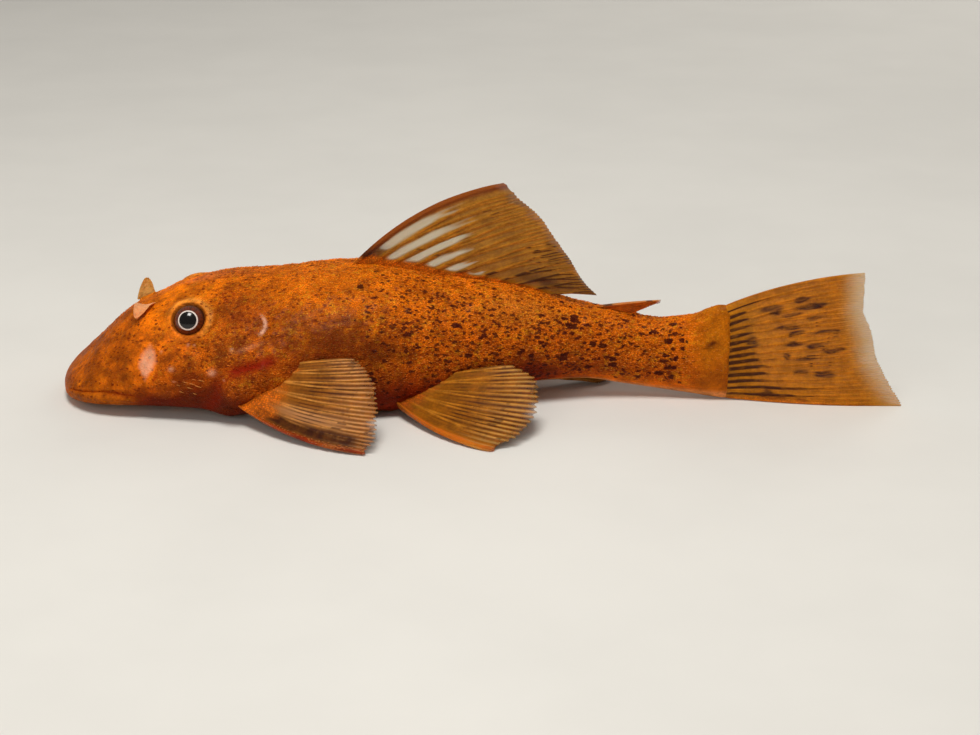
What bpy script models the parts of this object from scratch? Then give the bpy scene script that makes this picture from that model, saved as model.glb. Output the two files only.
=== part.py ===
"""Bristlenose pleco (Ancistrus), life size, resting on its belly with the tail bent a little to its left.

The origin is on the floor, on the midline under the first dorsal ray. +X runs towards the tail, -Y is the
fish's left side and +Z is up. Lengths are in metres: MM turns the millimetres of the named sizes into them.
"""

import math
import random

import bmesh
import bpy
import numpy as np
from mathutils import Matrix, Vector

MM = 0.001
GAP = 0.3 * MM
SEED = 11

# Length along the midline
SNOUT_X = -33.0 * MM
TORSO_END_X = 24.0 * MM
CAUDAL_BASE_X = 42.2 * MM

# Body sections, in millimetres: distance behind the snout tip, half width, height of the crown,
# height of the underside, height of the widest point and fullness of the upper half (2 is an ellipse)
BODY_SECTIONS = (
    (0.0, 0.0, 1.3, 1.3, 1.3, 1.9),
    (0.2, 2.2, 1.8, 0.7, 1.3, 1.9),
    (1.0, 4.9, 2.5, 0.5, 1.4, 1.9),
    (2.0, 6.5, 3.7, 0.4, 1.7, 1.8),
    (3.3, 7.8, 5.3, 0.4, 2.1, 1.8),
    (5.5, 9.0, 7.7, 0.4, 2.7, 1.7),
    (7.5, 9.6, 9.5, 0.4, 3.2, 1.65),
    (9.4, 10.0, 10.9, 0.4, 3.6, 1.6),
    (11.8, 10.5, 12.1, 0.4, 4.0, 1.6),
    (14.0, 10.9, 12.9, 0.35, 4.3, 1.6),
    (19.0, 11.7, 13.7, 0.1, 4.7, 1.7),
    (24.0, 12.0, 14.1, -0.3, 5.0, 1.85),
    (33.0, 11.2, 14.9, -0.35, 5.2, 2.0),
    (36.7, 10.4, 14.8, -0.35, 5.3, 2.0),
    (44.0, 8.6, 13.6, -0.2, 5.4, 2.0),
    (51.5, 6.4, 12.5, 1.2, 5.7, 2.0),
    (55.0, 5.5, 11.5, 1.7, 5.7, 2.05),
    (59.5, 4.3, 10.2, 1.7, 5.7, 2.1),
    (63.5, 3.5, 9.5, 1.2, 5.4, 2.2),
    (68.0, 2.6, 8.9, 0.7, 4.9, 2.2),
    (71.5, 2.1, 9.6, 0.4, 4.9, 2.2),
    (75.2, 1.4, 11.1, 0.1, 5.4, 2.2),
)
BELLY_FULLNESS = 3.4
TAIL_FULLNESS = 2.3
BELLY_END_X = 8.0 * MM
BELLY_FADE = 16.0 * MM

# The tail bends towards the fish's left
BEND_START_X = 24.0 * MM
BEND_LENGTH = 34.0 * MM
BEND_DEPTH = 5.8 * MM

# The gill opening and the rear of the skull part the head from the torso
GILL_X = -13.9 * MM
GILL_SLANT = 3.1 * MM
SKULL_REACH = 5.8 * MM
SKULL_POWER = 2.6

HEAD_STATIONS = 26
HEAD_COLUMNS = 44
HEAD_CROWDING = 1.7

# Bony plates: rows from the back down to the belly, as angles of the section in degrees
PLATE_ROW_EDGES = (81.0, 61.0, 38.0, 12.0, -18.0, -46.0)
PLATE_EDGE_SHARE = 0.16
PLATE_FRONT_SHARE = 0.2
PLATE_FRONT_RISE = 0.25
BELLY_ANGLES = (-58.0, -69.0, -80.0, -90.0)
TORSO_PLATES = 15
TAIL_PLATES = 9
PLATE_RISE = 0.26 * MM

# Eyes
EYE_X = -17.7 * MM
EYE_ANGLE = 49.0
EYE_RADIUS = 1.9 * MM
EYE_SINK = 0.85 * MM
EYE_LIFT = 38.0
EYE_FORWARD = 8.0
ORBIT_RADIUS = 2.15 * MM
ORBIT_ROLL = 0.55 * MM

# Nostrils with their upright flaps
NOSTRIL_X = -23.4 * MM
NOSTRIL_ANGLE = 77.0
NOSTRIL_RADIUS = 0.75 * MM
NOSTRIL_ROLL = 0.3 * MM
FLAP_HEIGHT = 2.3 * MM
FLAP_WIDTH = 2.2 * MM
FLAP_THICKNESS = 0.8 * MM
FLAP_ROOT = 0.8 * MM
FLAP_YAW = 25.0
FLAP_LEAN = -0.35

# Cheek spines
CHEEK_X = -17.2 * MM
CHEEK_ANGLE = 4.0
CHEEK_SPINES = 11
CHEEK_SPREAD_X = 1.9 * MM
CHEEK_SPREAD_ANGLE = 15.0
CHEEK_SPINE_LENGTH = 1.7 * MM
CHEEK_SPINE_RADIUS = 0.3 * MM
CHEEK_SPINE_SIDES = 5
CHEEK_SPIRAL_TURN = 2.4
CHEEK_SPINE_OUT = 0.75
CHEEK_SPINE_BACK = (1.0, 0.0, -0.12)

# Sucker mouth
MOUTH_X = -25.2 * MM
MOUTH_HALF_LENGTH = 4.2 * MM
MOUTH_HALF_WIDTH = 4.7 * MM
LIP_TOP = 1.2 * MM
LIP_COLUMNS = 36
BARBEL_REACH = 0.28
BARBEL_ANGLE = 100.0
BARBEL_SPREAD = 7.5
LIP_NOTCH = 0.05
LIP_NOTCH_SPREAD = 14.0
MOUTH_OPENING = 0.55

# Rings of the lips from the top, over the rim and along the floor to the roof of the mouth:
# share of the rim's radius, height, share of the barbels' reach and how round the ring is
LIP_RINGS = (
    (0.55, LIP_TOP, 0.0, 1.0),
    (0.92, LIP_TOP, 0.6, 1.0),
    (1.0, 0.66 * MM, 1.0, 1.0),
    (0.97, 0.1 * MM, 1.0, 1.0),
    (0.86, 0.0, 0.7, 1.0),
    (0.46, 0.0, 0.0, MOUTH_OPENING),
    (0.38, 0.35 * MM, 0.0, MOUTH_OPENING),
    (0.3, 0.7 * MM, 0.0, MOUTH_OPENING),
)

# Fins: half thickness of the web, of a soft ray and of the leading spine
WEB_HALF = 0.26 * MM
RAY_HALF = 0.42 * MM
SPINE_HALF = 0.6 * MM
RAY_SHARE = 0.22
TIP_NOTCH = 0.045
WEB_THINNING = 0.1
RAY_THINNING = 0.6
LEADING_EDGE = -0.14

# Fins as rays, in millimetres: root, bow and tip of each named ray, each as (x, side, z), where side is
# the distance from the midline plane, towards the fish's left
DORSAL_ROOT_X = (0.5, 3.6, 7.0, 10.6, 14.3, 17.6, 20.2, 22.3)
DORSAL_BOW = (
    (8.0, 22.6), (11.2, 19.9), (13.9, 18.6), (16.4, 17.1),
    (19.1, 15.6), (21.4, 14.3), (23.3, 12.9), (25.2, 11.7),
)
DORSAL_TIP = (
    (17.7, 24.4), (19.6, 22.4), (21.2, 21.1), (22.5, 19.1),
    (24.0, 17.0), (25.1, 15.3), (26.3, 13.2), (27.9, 11.5),
)
DORSAL_LEAN = 0.8
DORSAL_BOW_LEAN = 0.32
DORSAL_ROWS = 10

ADIPOSE_ROOT_X = (27.8, 29.3, 30.9, 32.6)
ADIPOSE_TIP = ((35.1, 11.1), (34.8, 10.7), (34.4, 10.2), (33.9, 9.7))
ADIPOSE_BULGE = 0.15
ADIPOSE_ROWS = 7

ANAL_ROOT_X = (18.8, 19.9, 21.0, 22.0, 22.9)
ANAL_TIP = ((29.6, -3.9), (30.2, -3.1), (30.0, -2.3), (29.2, -1.5), (28.2, -0.9))
ANAL_TIP_Z = 0.336
ANAL_ROWS = 7

PECTORAL_ROOT = ((-13.2, 9.6, 2.4), (-7.8, 10.4, 6.2))
PECTORAL_BOW = ((-6.4, 18.8, 0.6), (-4.0, 12.2, 8.0))
PECTORAL_TIPS = (
    (2.7, 20.8, 0.25), (3.6, 20.0, 1.5), (3.8, 18.4, 2.8), (3.8, 16.8, 4.2),
    (3.5, 15.2, 5.9), (2.5, 13.6, 7.2), (0.8, 12.0, 8.0),
)
PECTORAL_SWELL = 1.1 * MM

PELVIC_ROOT = ((4.4, 6.8, 1.5), (8.4, 7.2, 3.4))
PELVIC_BOW = ((9.2, 16.8, 0.6), (13.4, 9.2, 5.9))
PELVIC_TIPS = (
    (16.3, 19.7, 0.25), (18.9, 18.2, 1.3), (20.5, 16.0, 2.3),
    (21.3, 13.8, 3.8), (21.0, 11.6, 5.3), (18.2, 9.4, 6.3),
)
PELVIC_SWELL = 0.9 * MM
PAIRED_ROWS = 12
SWELL_SHARE = 0.3
SWELL_POWER = 1.3

CAUDAL_RAYS = 16
CAUDAL_TRAILING = (
    (0.0, 62.4, 0.0), (0.18, 60.6, 3.0), (0.36, 59.1, 6.0),
    (0.55, 58.4, 8.9), (0.75, 57.4, 11.7), (1.0, 57.4, 15.8),
)
CAUDAL_FLARE = 0.5
CAUDAL_FLESH = 0.26
CAUDAL_FLESH_POWER = 1.5
CAUDAL_ROWS = 11

SHARP_ANGLE = 50.0

SKIN_COLOUR = (0.5, 0.12, 0.012)
DEEP_COLOUR = (0.36, 0.07, 0.01)
FIN_COLOUR = (0.42, 0.15, 0.03)
LIP_COLOUR = (0.62, 0.28, 0.12)
EYE_COLOUR = (0.02, 0.012, 0.01)


def clear_scene():
    for obj in list(bpy.data.objects):
        bpy.data.objects.remove(obj, do_unlink=True)


def new_collection(name):
    made = bpy.data.collections.new(name)
    bpy.context.scene.collection.children.link(made)
    return made


def make_material(name, colour, roughness, coat=0.0):
    """A wet-looking Principled finish."""
    made = bpy.data.materials.new(name)
    made.use_nodes = True
    shader = made.node_tree.nodes["Principled BSDF"]
    shader.inputs["Base Color"].default_value = (*colour, 1.0)
    shader.inputs["Roughness"].default_value = roughness
    shader.inputs["Metallic"].default_value = 0.0
    shader.inputs["Coat Weight"].default_value = coat
    made.diffuse_color = (*colour, 1.0)
    return made


def smooth_curve(at, knots, values):
    """Cubic curve through the values that adds no bump between them. Extra axes of values are kept."""
    at = np.asarray(at, float)
    knots = np.asarray(knots, float)
    values = np.asarray(values, float)
    flat = values.reshape(len(knots), -1)
    step = np.diff(knots)[:, None]
    slope = np.diff(flat, axis=0) / step
    tangent = np.zeros_like(flat)
    product = slope[:-1] * slope[1:]
    total = slope[:-1] + slope[1:]
    tangent[1:-1] = np.where(product > 0, 2 * product / np.where(total == 0, 1, total), 0)
    tangent[0] = slope[0]
    tangent[-1] = slope[-1]
    index = np.clip(np.searchsorted(knots, at.ravel(), side="right") - 1, 0, len(knots) - 2)
    width = step[index]
    t = (at.ravel()[:, None] - knots[index][:, None]) / width
    low = (1 + 2 * t) * (1 - t) ** 2 * flat[index] + t * (1 - t) ** 2 * width * tangent[index]
    high = t * t * (3 - 2 * t) * flat[index + 1] - t * t * (1 - t) * width * tangent[index + 1]
    return (low + high).reshape(at.shape + values.shape[1:])


def smooth_step(x, start, length):
    """0 before start, 1 from start + length on, with a smooth rise between."""
    t = np.clip((np.asarray(x, float) - start) / length, 0, 1)
    return t * t * (3 - 2 * t)


def tail_bend(x):
    """How far the midline has swung to the fish's left at x."""
    return BEND_DEPTH * smooth_step(x, BEND_START_X, BEND_LENGTH)


def section(x):
    """(half width, crown, underside, widest height, upper fullness, lower fullness) of the body at x.

    The sizes are read against the square root of the distance from the snout tip, which rounds the snout.
    """
    table = np.asarray(BODY_SECTIONS, float)
    distance = np.clip((np.asarray(x, float) - SNOUT_X) / MM, 0, table[-1, 0])
    sizes = smooth_curve(np.sqrt(distance), np.sqrt(table[:, 0]), table[:, 1:])
    half_width, top, bottom, middle = (sizes[..., column] * MM for column in range(4))
    lower = BELLY_FULLNESS + (TAIL_FULLNESS - BELLY_FULLNESS) * smooth_step(x, BELLY_END_X, BELLY_FADE)
    return half_width, top, bottom, middle, sizes[..., 4], lower


def crown(x):
    return section(x)[1]


def underside(x):
    return section(x)[2]


def body_point(x, angle, raised=0.0):
    """Points of the body's surface. angle is in radians: 0 on the right, a quarter turn at the crown."""
    half_width, top, bottom, middle, upper, lower = section(x)
    cosine = np.cos(angle)
    sine = np.sin(angle)
    power = 2 / np.where(sine >= 0, upper, lower)
    height = np.where(sine >= 0, top - middle, middle - bottom)
    side = half_width * np.sign(cosine) * np.abs(cosine) ** power
    rise = height * np.sign(sine) * np.abs(sine) ** power
    lean = np.stack([cosine * height, sine * half_width], axis=-1)
    lean /= np.maximum(np.linalg.norm(lean, axis=-1, keepdims=True), 1e-9)
    y = side + lean[..., 0] * raised - tail_bend(x)
    z = middle + rise + lean[..., 1] * raised
    return np.stack([np.broadcast_to(x, y.shape), y, z], axis=-1)


def head_rear_x(angle):
    """Where the head ends at each angle: the gill opening low on the side, the skull's point on the back."""
    sine = np.sin(angle)
    return GILL_X + GILL_SLANT * sine + SKULL_REACH * np.maximum(sine, 0) ** SKULL_POWER


def mirrored_angles(half):
    """A full turn of angles, in radians, from those of one side in degrees, crown first and belly last."""
    half = np.asarray(half, float)
    right = half[::-1]
    left = 180.0 - half[1:-1]
    return np.radians(np.concatenate([right, left]))


def plate_columns():
    """(angles in degrees, height share) down one side: each row of plates rises inside its two edges."""
    angles = [90.0, PLATE_ROW_EDGES[0]]
    shares = [0.0, 0.0]
    for upper, lower in zip(PLATE_ROW_EDGES[:-1], PLATE_ROW_EDGES[1:]):
        inset = (upper - lower) * PLATE_EDGE_SHARE
        angles += [upper - inset, lower + inset, lower]
        shares += [1.0, 1.0, 0.0]
    angles += BELLY_ANGLES
    shares += [0.0] * len(BELLY_ANGLES)
    return angles, shares


def plate_stations(count):
    """(share of the length, height share) for each edge of the plates: low in front, full at the rear."""
    places = [0.0]
    shares = [0.0]
    for plate in range(count):
        places += [(plate + PLATE_FRONT_SHARE) / count, (plate + 1) / count]
        shares += [PLATE_FRONT_RISE, 1.0]
    shares[-1] = 0.0
    return np.array(places), np.array(shares)


def on_floor(points):
    """The points with none below the floor, which leaves small flats where a form reaches it."""
    points = points.copy()
    points[..., 2] = np.maximum(points[..., 2], 0.0)
    return points


def mesh_object(name, points, faces, group, material=None):
    """An object of its own from points and faces, with the faces turned outwards."""
    mesh = bpy.data.meshes.new(name)
    mesh.from_pydata([tuple(point) for point in points], [], faces)
    shape = bmesh.new()
    shape.from_mesh(mesh)
    bmesh.ops.recalc_face_normals(shape, faces=shape.faces)
    shape.to_mesh(mesh)
    shape.free()
    mesh.shade_smooth()
    mesh.set_sharp_from_angle(angle=math.radians(SHARP_ANGLE))
    if material:
        mesh.materials.append(material)
    made = bpy.data.objects.new(name, mesh)
    group.objects.link(made)
    return made


def loft(name, rings, group, material=None, nose=None):
    """A closed solid through rings of equal count. Each end is closed by a fan, or by the nose point."""
    count, around = rings.shape[:2]
    points = [*rings.reshape(-1, 3)]
    front = rings[0].mean(axis=0) if nose is None else nose
    points += [front, rings[-1].mean(axis=0)]
    first_pole = count * around
    faces = []
    for row in range(count - 1):
        for column in range(around):
            after = (column + 1) % around
            low = row * around
            faces.append((low + column, low + after, low + around + after, low + around + column))
    last = (count - 1) * around
    for column in range(around):
        after = (column + 1) % around
        faces.append((first_pole, after, column))
        faces.append((first_pole + 1, last + column, last + after))
    return mesh_object(name, points, faces, group, material)


def sheet(name, centre, half, group, material=None):
    """A closed thin solid about a grid of centre points, split into triangles alike on both faces."""
    along = np.gradient(centre, axis=0)
    across = np.gradient(centre, axis=1)
    normal = np.cross(along, across)
    normal /= np.linalg.norm(normal, axis=2, keepdims=True)
    front = on_floor(centre + normal * half[..., None])
    back = on_floor(centre - normal * half[..., None])
    rows, columns = centre.shape[:2]
    index = np.arange(rows * columns).reshape(rows, columns)
    a = index[:-1, :-1].ravel()
    b = index[:-1, 1:].ravel()
    c = index[1:, 1:].ravel()
    d = index[1:, :-1].ravel()
    upper = np.concatenate([np.stack([a, b, c], 1), np.stack([a, c, d], 1)])
    lower = upper[:, ::-1] + rows * columns
    rim = np.concatenate([index[0], index[1:, -1], index[-1, -2::-1], index[-2:0:-1, 0]])
    following = np.roll(rim, -1)
    under = rim + rows * columns
    under_following = following + rows * columns
    walls = np.concatenate([
        np.stack([rim, under, under_following], 1),
        np.stack([rim, under_following, following], 1),
    ])
    points = np.concatenate([front.reshape(-1, 3), back.reshape(-1, 3)])
    faces = np.concatenate([upper, lower, walls]).tolist()
    return mesh_object(name, points, faces, group, material)


def apply_modifiers(obj):
    graph = bpy.context.evaluated_depsgraph_get()
    mesh = bpy.data.meshes.new_from_object(obj.evaluated_get(graph))
    old = obj.data
    obj.modifiers.clear()
    obj.data = mesh
    bpy.data.meshes.remove(old)


def boolean(obj, operation, operands):
    """Joins or cuts obj with every object of a collection."""
    modifier = obj.modifiers.new(operation.lower(), "BOOLEAN")
    modifier.operation = operation
    modifier.operand_type = "COLLECTION"
    modifier.collection = operands
    modifier.solver = "EXACT"
    apply_modifiers(obj)


def empty_out(group):
    for obj in list(group.objects):
        bpy.data.objects.remove(obj, do_unlink=True)


def islands(shape):
    """The separate closed surfaces of a bmesh, each as its list of faces."""
    left = set(shape.faces)
    found = []
    while left:
        front = [left.pop()]
        island = []
        while front:
            face = front.pop()
            island.append(face)
            for edge in face.edges:
                for other in edge.link_faces:
                    if other in left:
                        left.remove(other)
                        front.append(other)
        found.append(island)
    return found


def keep_largest(obj):
    """Keeps the closed surface with the most area, and shades it smooth."""
    shape = bmesh.new()
    shape.from_mesh(obj.data)
    found = sorted(islands(shape), key=lambda island: sum(face.calc_area() for face in island))
    spare = [face for island in found[:-1] for face in island]
    bmesh.ops.delete(shape, geom=spare, context="FACES")
    shape.to_mesh(obj.data)
    shape.free()
    obj.data.shade_smooth()
    obj.data.set_sharp_from_angle(angle=math.radians(SHARP_ANGLE))


def place(obj, origin, axis, upright=Vector((0, 0, 1))):
    """Sets an object at origin with its Z along axis and its Y as near as can be to upright."""
    z = Vector(axis).normalized()
    x = Vector(upright).cross(z).normalized()
    y = z.cross(x)
    turn = Matrix((x, y, z)).transposed().to_4x4()
    obj.matrix_world = Matrix.Translation(Vector(origin)) @ turn


def primitive(name, group, material=None):
    """Names the primitive just added and moves it to its collection."""
    made = bpy.context.object
    made.name = name
    made.data.name = name
    for owner in list(made.users_collection):
        owner.objects.unlink(made)
    group.objects.link(made)
    if material:
        made.data.materials.append(material)
    made.data.shade_smooth()
    return made


def side_angle(degrees, side):
    """The section angle of a place on one side: side is 1 on the fish's left and -1 on its right."""
    return math.radians(180.0 - degrees if side > 0 else degrees)


def skin_frame(x, degrees, side):
    """(point, outward normal) of the body's surface at a place on one side."""
    angle = side_angle(degrees, side)
    step = 0.05 * MM
    turn = math.radians(0.5)
    point = body_point(np.array(x), np.array(angle))
    along = body_point(np.array(x + step), np.array(angle)) - body_point(np.array(x - step), np.array(angle))
    around = body_point(np.array(x), np.array(angle + turn)) - body_point(np.array(x), np.array(angle - turn))
    normal = Vector(np.cross(around, along)).normalized()
    centre = Vector((x, -float(tail_bend(x)), float(section(x)[3])))
    if normal.dot(Vector(point) - centre) < 0:
        normal.negate()
    return Vector(point), normal


def eye_axis(side):
    lift = math.radians(EYE_LIFT)
    forward = math.radians(EYE_FORWARD)
    level = math.cos(lift)
    return Vector((-level * math.sin(forward), -side * level * math.cos(forward), math.sin(lift)))


def eye_centre(side):
    point, _ = skin_frame(EYE_X, EYE_ANGLE, side)
    return point - eye_axis(side) * EYE_SINK


def make_eye(name, side, group, material):
    bpy.ops.mesh.primitive_uv_sphere_add(segments=18, ring_count=10, radius=EYE_RADIUS)
    eye = primitive(name, group, material)
    place(eye, eye_centre(side), eye_axis(side))
    return eye


def add_orbit(side, group):
    """The raised bony rim round an eye."""
    bpy.ops.mesh.primitive_torus_add(
        major_radius=ORBIT_RADIUS, minor_radius=ORBIT_ROLL, major_segments=24, minor_segments=8
    )
    rim = primitive("orbit", group)
    point, _ = skin_frame(EYE_X, EYE_ANGLE, side)
    place(rim, point - eye_axis(side) * ORBIT_ROLL * 0.5, eye_axis(side))


def add_eye_socket(side, group):
    bpy.ops.mesh.primitive_uv_sphere_add(segments=22, ring_count=12, radius=EYE_RADIUS + GAP)
    socket = primitive("socket", group)
    place(socket, eye_centre(side), eye_axis(side))


def add_nostril(side, group):
    """The raised rim of a nostril, with the flap that stands at its rear."""
    point, normal = skin_frame(NOSTRIL_X, NOSTRIL_ANGLE, side)
    bpy.ops.mesh.primitive_torus_add(
        major_radius=NOSTRIL_RADIUS, minor_radius=NOSTRIL_ROLL, major_segments=14, minor_segments=6
    )
    place(primitive("nostril", group), point, normal)
    bpy.ops.mesh.primitive_cone_add(vertices=10, radius1=0.5, radius2=0.1, depth=1.0)
    flap = primitive("flap", group)
    height = FLAP_HEIGHT + FLAP_ROOT
    flap.data.transform(Matrix.Translation((0.0, 0.0, 0.5)))
    flap.data.transform(Matrix.Diagonal((FLAP_WIDTH, FLAP_THICKNESS, height, 1.0)))
    flap.data.transform(Matrix.Shear("XY", 4, (FLAP_LEAN, 0.0)))
    yaw = Matrix.Rotation(math.radians(side * FLAP_YAW), 4, "Z")
    root = point + Vector((NOSTRIL_RADIUS, 0.0, -FLAP_ROOT))
    flap.matrix_world = Matrix.Translation(root) @ yaw


def add_nostril_pit(side, group):
    point, normal = skin_frame(NOSTRIL_X, NOSTRIL_ANGLE, side)
    bpy.ops.mesh.primitive_uv_sphere_add(segments=12, ring_count=8, radius=NOSTRIL_RADIUS * 0.7)
    pit = primitive("pit", group)
    place(pit, point + normal * NOSTRIL_ROLL * 0.5, normal)


def add_cheek_spines(side, group):
    """Short spines that stand out and back from the rear of the cheek, longest in the middle."""
    draw = random.Random(SEED)
    for index in range(CHEEK_SPINES):
        turn = CHEEK_SPIRAL_TURN * index
        reach = math.sqrt((index + 0.5) / CHEEK_SPINES)
        x = CHEEK_X + CHEEK_SPREAD_X * reach * math.cos(turn)
        angle = CHEEK_ANGLE + CHEEK_SPREAD_ANGLE * reach * math.sin(turn)
        point, normal = skin_frame(x, angle, side)
        length = CHEEK_SPINE_LENGTH * (1.15 - 0.5 * reach) * draw.uniform(0.85, 1.15)
        axis = (normal * CHEEK_SPINE_OUT + Vector(CHEEK_SPINE_BACK)).normalized()
        bpy.ops.mesh.primitive_cone_add(
            vertices=CHEEK_SPINE_SIDES, radius1=CHEEK_SPINE_RADIUS, radius2=0.0, depth=2 * length
        )
        place(primitive("cheek_spine", group), point, axis)


def head_rings(grow=0.0):
    """Rings that run from the snout to the slanted rear edge of the head."""
    angle = np.linspace(0, 2 * math.pi, HEAD_COLUMNS, endpoint=False)
    share = (np.arange(1, HEAD_STATIONS + 1) / HEAD_STATIONS) ** HEAD_CROWDING
    rear = head_rear_x(angle) - GAP / 2
    x = SNOUT_X + (rear - SNOUT_X)[None, :] * share[:, None]
    return on_floor(body_point(x, np.broadcast_to(angle, x.shape), grow))


def make_head(group, work, cutters, material):
    """The head as one solid: skull, orbits, nostrils and cheek spines, with sockets for eyes and mouth."""
    tip = np.array([SNOUT_X, 0.0, BODY_SECTIONS[0][2] * MM])
    head = loft("head", head_rings(), group, material, nose=tip)
    for side in (1, -1):
        add_orbit(side, work)
        add_nostril(side, work)
        add_cheek_spines(side, work)
    boolean(head, "UNION", work)
    empty_out(work)
    for side in (1, -1):
        add_eye_socket(side, cutters)
        add_nostril_pit(side, cutters)
    add_mouth_recess(cutters)
    boolean(head, "DIFFERENCE", cutters)
    empty_out(cutters)
    keep_largest(head)
    return head


def add_mouth_recess(group):
    """The shallow hollow under the head that takes the lips, one gap larger than they are."""
    depth = 2 * (LIP_TOP + GAP)
    bpy.ops.mesh.primitive_cylinder_add(vertices=LIP_COLUMNS, radius=1.0, depth=depth)
    recess = primitive("recess", group)
    reach = 1.0 + BARBEL_REACH
    recess.data.transform(
        Matrix.Diagonal((MOUTH_HALF_LENGTH + GAP, MOUTH_HALF_WIDTH * reach + GAP, 1.0, 1.0))
    )
    recess.location = (MOUTH_X, 0.0, 0.0)


def make_lips(group, material):
    """The sucker mouth: a flat disc of lip on the floor, a barbel at each corner and the mouth's pit."""
    angle = np.linspace(0, 2 * math.pi, LIP_COLUMNS, endpoint=False)
    corner = math.radians(BARBEL_ANGLE)
    from_corner = np.minimum(np.abs(angle - corner), np.abs(angle - 2 * math.pi + corner))
    from_rear = np.minimum(angle, 2 * math.pi - angle)
    barbel = BARBEL_REACH * np.exp(-((from_corner / math.radians(BARBEL_SPREAD)) ** 2))
    notch = LIP_NOTCH * np.exp(-((from_rear / math.radians(LIP_NOTCH_SPREAD)) ** 2))
    rings = []
    for share, height, with_barbel, roundness in LIP_RINGS:
        reach = share + with_barbel * (barbel - notch)
        rings.append(np.stack([
            MOUTH_X + MOUTH_HALF_LENGTH * reach * roundness * np.cos(angle),
            MOUTH_HALF_WIDTH * reach * np.sin(angle),
            np.full_like(angle, height),
        ], axis=-1))
    return loft("lips", np.array(rings), group, material)


def trunk_rings(front_x, rear_x, plates, grow=0.0):
    """Rings with plate relief between two ends. front_x may differ from angle to angle."""
    half, row_share = plate_columns()
    angle = mirrored_angles(half)
    column_share = np.array([*row_share[::-1], *row_share[1:-1]])
    place_share, station_share = plate_stations(plates)
    start = np.broadcast_to(front_x(angle), angle.shape)
    x = start[None, :] + (rear_x - start)[None, :] * place_share[:, None]
    raised = grow + PLATE_RISE * station_share[:, None] * column_share[None, :]
    return on_floor(body_point(x, np.broadcast_to(angle, x.shape), raised))


def torso_rings(grow=0.0):
    return trunk_rings(lambda angle: head_rear_x(angle) + GAP / 2, TORSO_END_X - GAP / 2, TORSO_PLATES, grow)


def make_torso(group, material):
    return loft("torso", torso_rings(), group, material)


def make_tail_stalk(group, material):
    rings = trunk_rings(
        lambda angle: np.full_like(angle, TORSO_END_X + GAP / 2), CAUDAL_BASE_X, TAIL_PLATES
    )
    return loft("tail_stalk", rings, group, material)


def ray_columns(count, spined=True):
    """(ray positions, kind) across a fin: 1 on a ray's crest and 0 on the web, with a thin leading edge."""
    columns = [LEADING_EDGE] if spined else []
    kinds = [0.0] if spined else []
    for ray in range(count):
        columns.append(float(ray))
        kinds.append(1.0)
        if ray < count - 1:
            columns += [ray + RAY_SHARE, ray + 1 - RAY_SHARE]
            kinds += [0.0, 0.0]
    return np.array(columns), np.array(kinds)


def fan(roots, bows, tips, columns, kinds, rows):
    """Centre grid of a fin: each column is a quadratic curve from its root past its bow to its tip."""
    knots = np.arange(len(tips))
    at = np.clip(columns, 0, knots[-1])
    beyond = (columns - at)[:, None]
    ends = []
    for values in (roots, bows, tips):
        values = np.asarray(values, float)
        slope = values[1] - values[0]
        ends.append(smooth_curve(at, knots, values) + beyond * slope)
    root, bow, tip = ends
    share = np.linspace(0, 1, rows)[:, None] * (1 - TIP_NOTCH * (1 - kinds))[None, :]
    share = share[..., None]
    return (1 - share) ** 2 * root + 2 * share * (1 - share) * bow + share**2 * tip


def fin_thickness(kinds, columns, rows, spined=True):
    """Half thickness over the grid: ridges on the rays, thickest on the spine, all thinner to the tips."""
    v = np.linspace(0, 1, rows)[:, None]
    crest = np.where((columns < 0.5) & spined, SPINE_HALF, RAY_HALF)
    ridge = (crest - WEB_HALF) * kinds
    return WEB_HALF * (1 - WEB_THINNING * v) + ridge[None, :] * (1 - RAY_THINNING * v)


def crown_roots(root_x):
    """Roots of rays, in millimetres, that stand one gap above the crown of the body."""
    x = np.array(root_x)
    return np.stack([x, np.zeros(len(x)), (crown(x * MM) + GAP) / MM], axis=-1)


def make_dorsal_fin(group, material):
    """A spine and seven rays whose roots stand on the crown of the torso."""
    count = len(DORSAL_ROOT_X)
    columns, kinds = ray_columns(count)
    roots = crown_roots(DORSAL_ROOT_X)
    bows = np.array([(x, -DORSAL_BOW_LEAN, z) for x, z in DORSAL_BOW])
    tips = np.array([(x, -DORSAL_LEAN, z) for x, z in DORSAL_TIP])
    centre = fan(roots, bows, tips, columns, kinds, DORSAL_ROWS) * MM
    return sheet("dorsal_fin", centre, fin_thickness(kinds, columns, DORSAL_ROWS), group, material)


def make_adipose_fin(group, material):
    """The small spine behind the dorsal fin, with its web down to the back."""
    columns = np.array([0.0, 0.3, 0.6, 1.0, 2.0, 3.0])
    kinds = np.array([1.0, 1.0, 0.0, 0.0, 0.0, 0.0])
    roots = crown_roots(ADIPOSE_ROOT_X)
    tips = np.array([(x, 0.0, z) for x, z in ADIPOSE_TIP])
    bows = (roots + tips) / 2 + np.array([0.0, 0.0, ADIPOSE_BULGE])
    centre = fan(roots, bows, tips, columns, kinds, ADIPOSE_ROWS) * MM
    centre[..., 1] -= tail_bend(centre[..., 0])
    return sheet("adipose_fin", centre, fin_thickness(kinds, columns, ADIPOSE_ROWS), group, material)


def make_anal_fin(group, material):
    """The small fin behind the vent, folded back and to the right between the tail and the floor."""
    count = len(ANAL_ROOT_X)
    columns, kinds = ray_columns(count)
    root_x = np.array(ANAL_ROOT_X)
    root_z = underside(root_x * MM) / MM - (GAP + RAY_HALF) / MM
    roots = np.stack([root_x, np.zeros(count), root_z], axis=-1)
    tips = np.array([(x, side, ANAL_TIP_Z) for x, side in ANAL_TIP])
    bows = (roots + tips) / 2
    centre = mirror_side(fan(roots, bows, tips, columns, kinds, ANAL_ROWS) * MM, 1)
    return sheet("anal_fin", centre, fin_thickness(kinds, columns, ANAL_ROWS, False), group, material)


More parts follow.
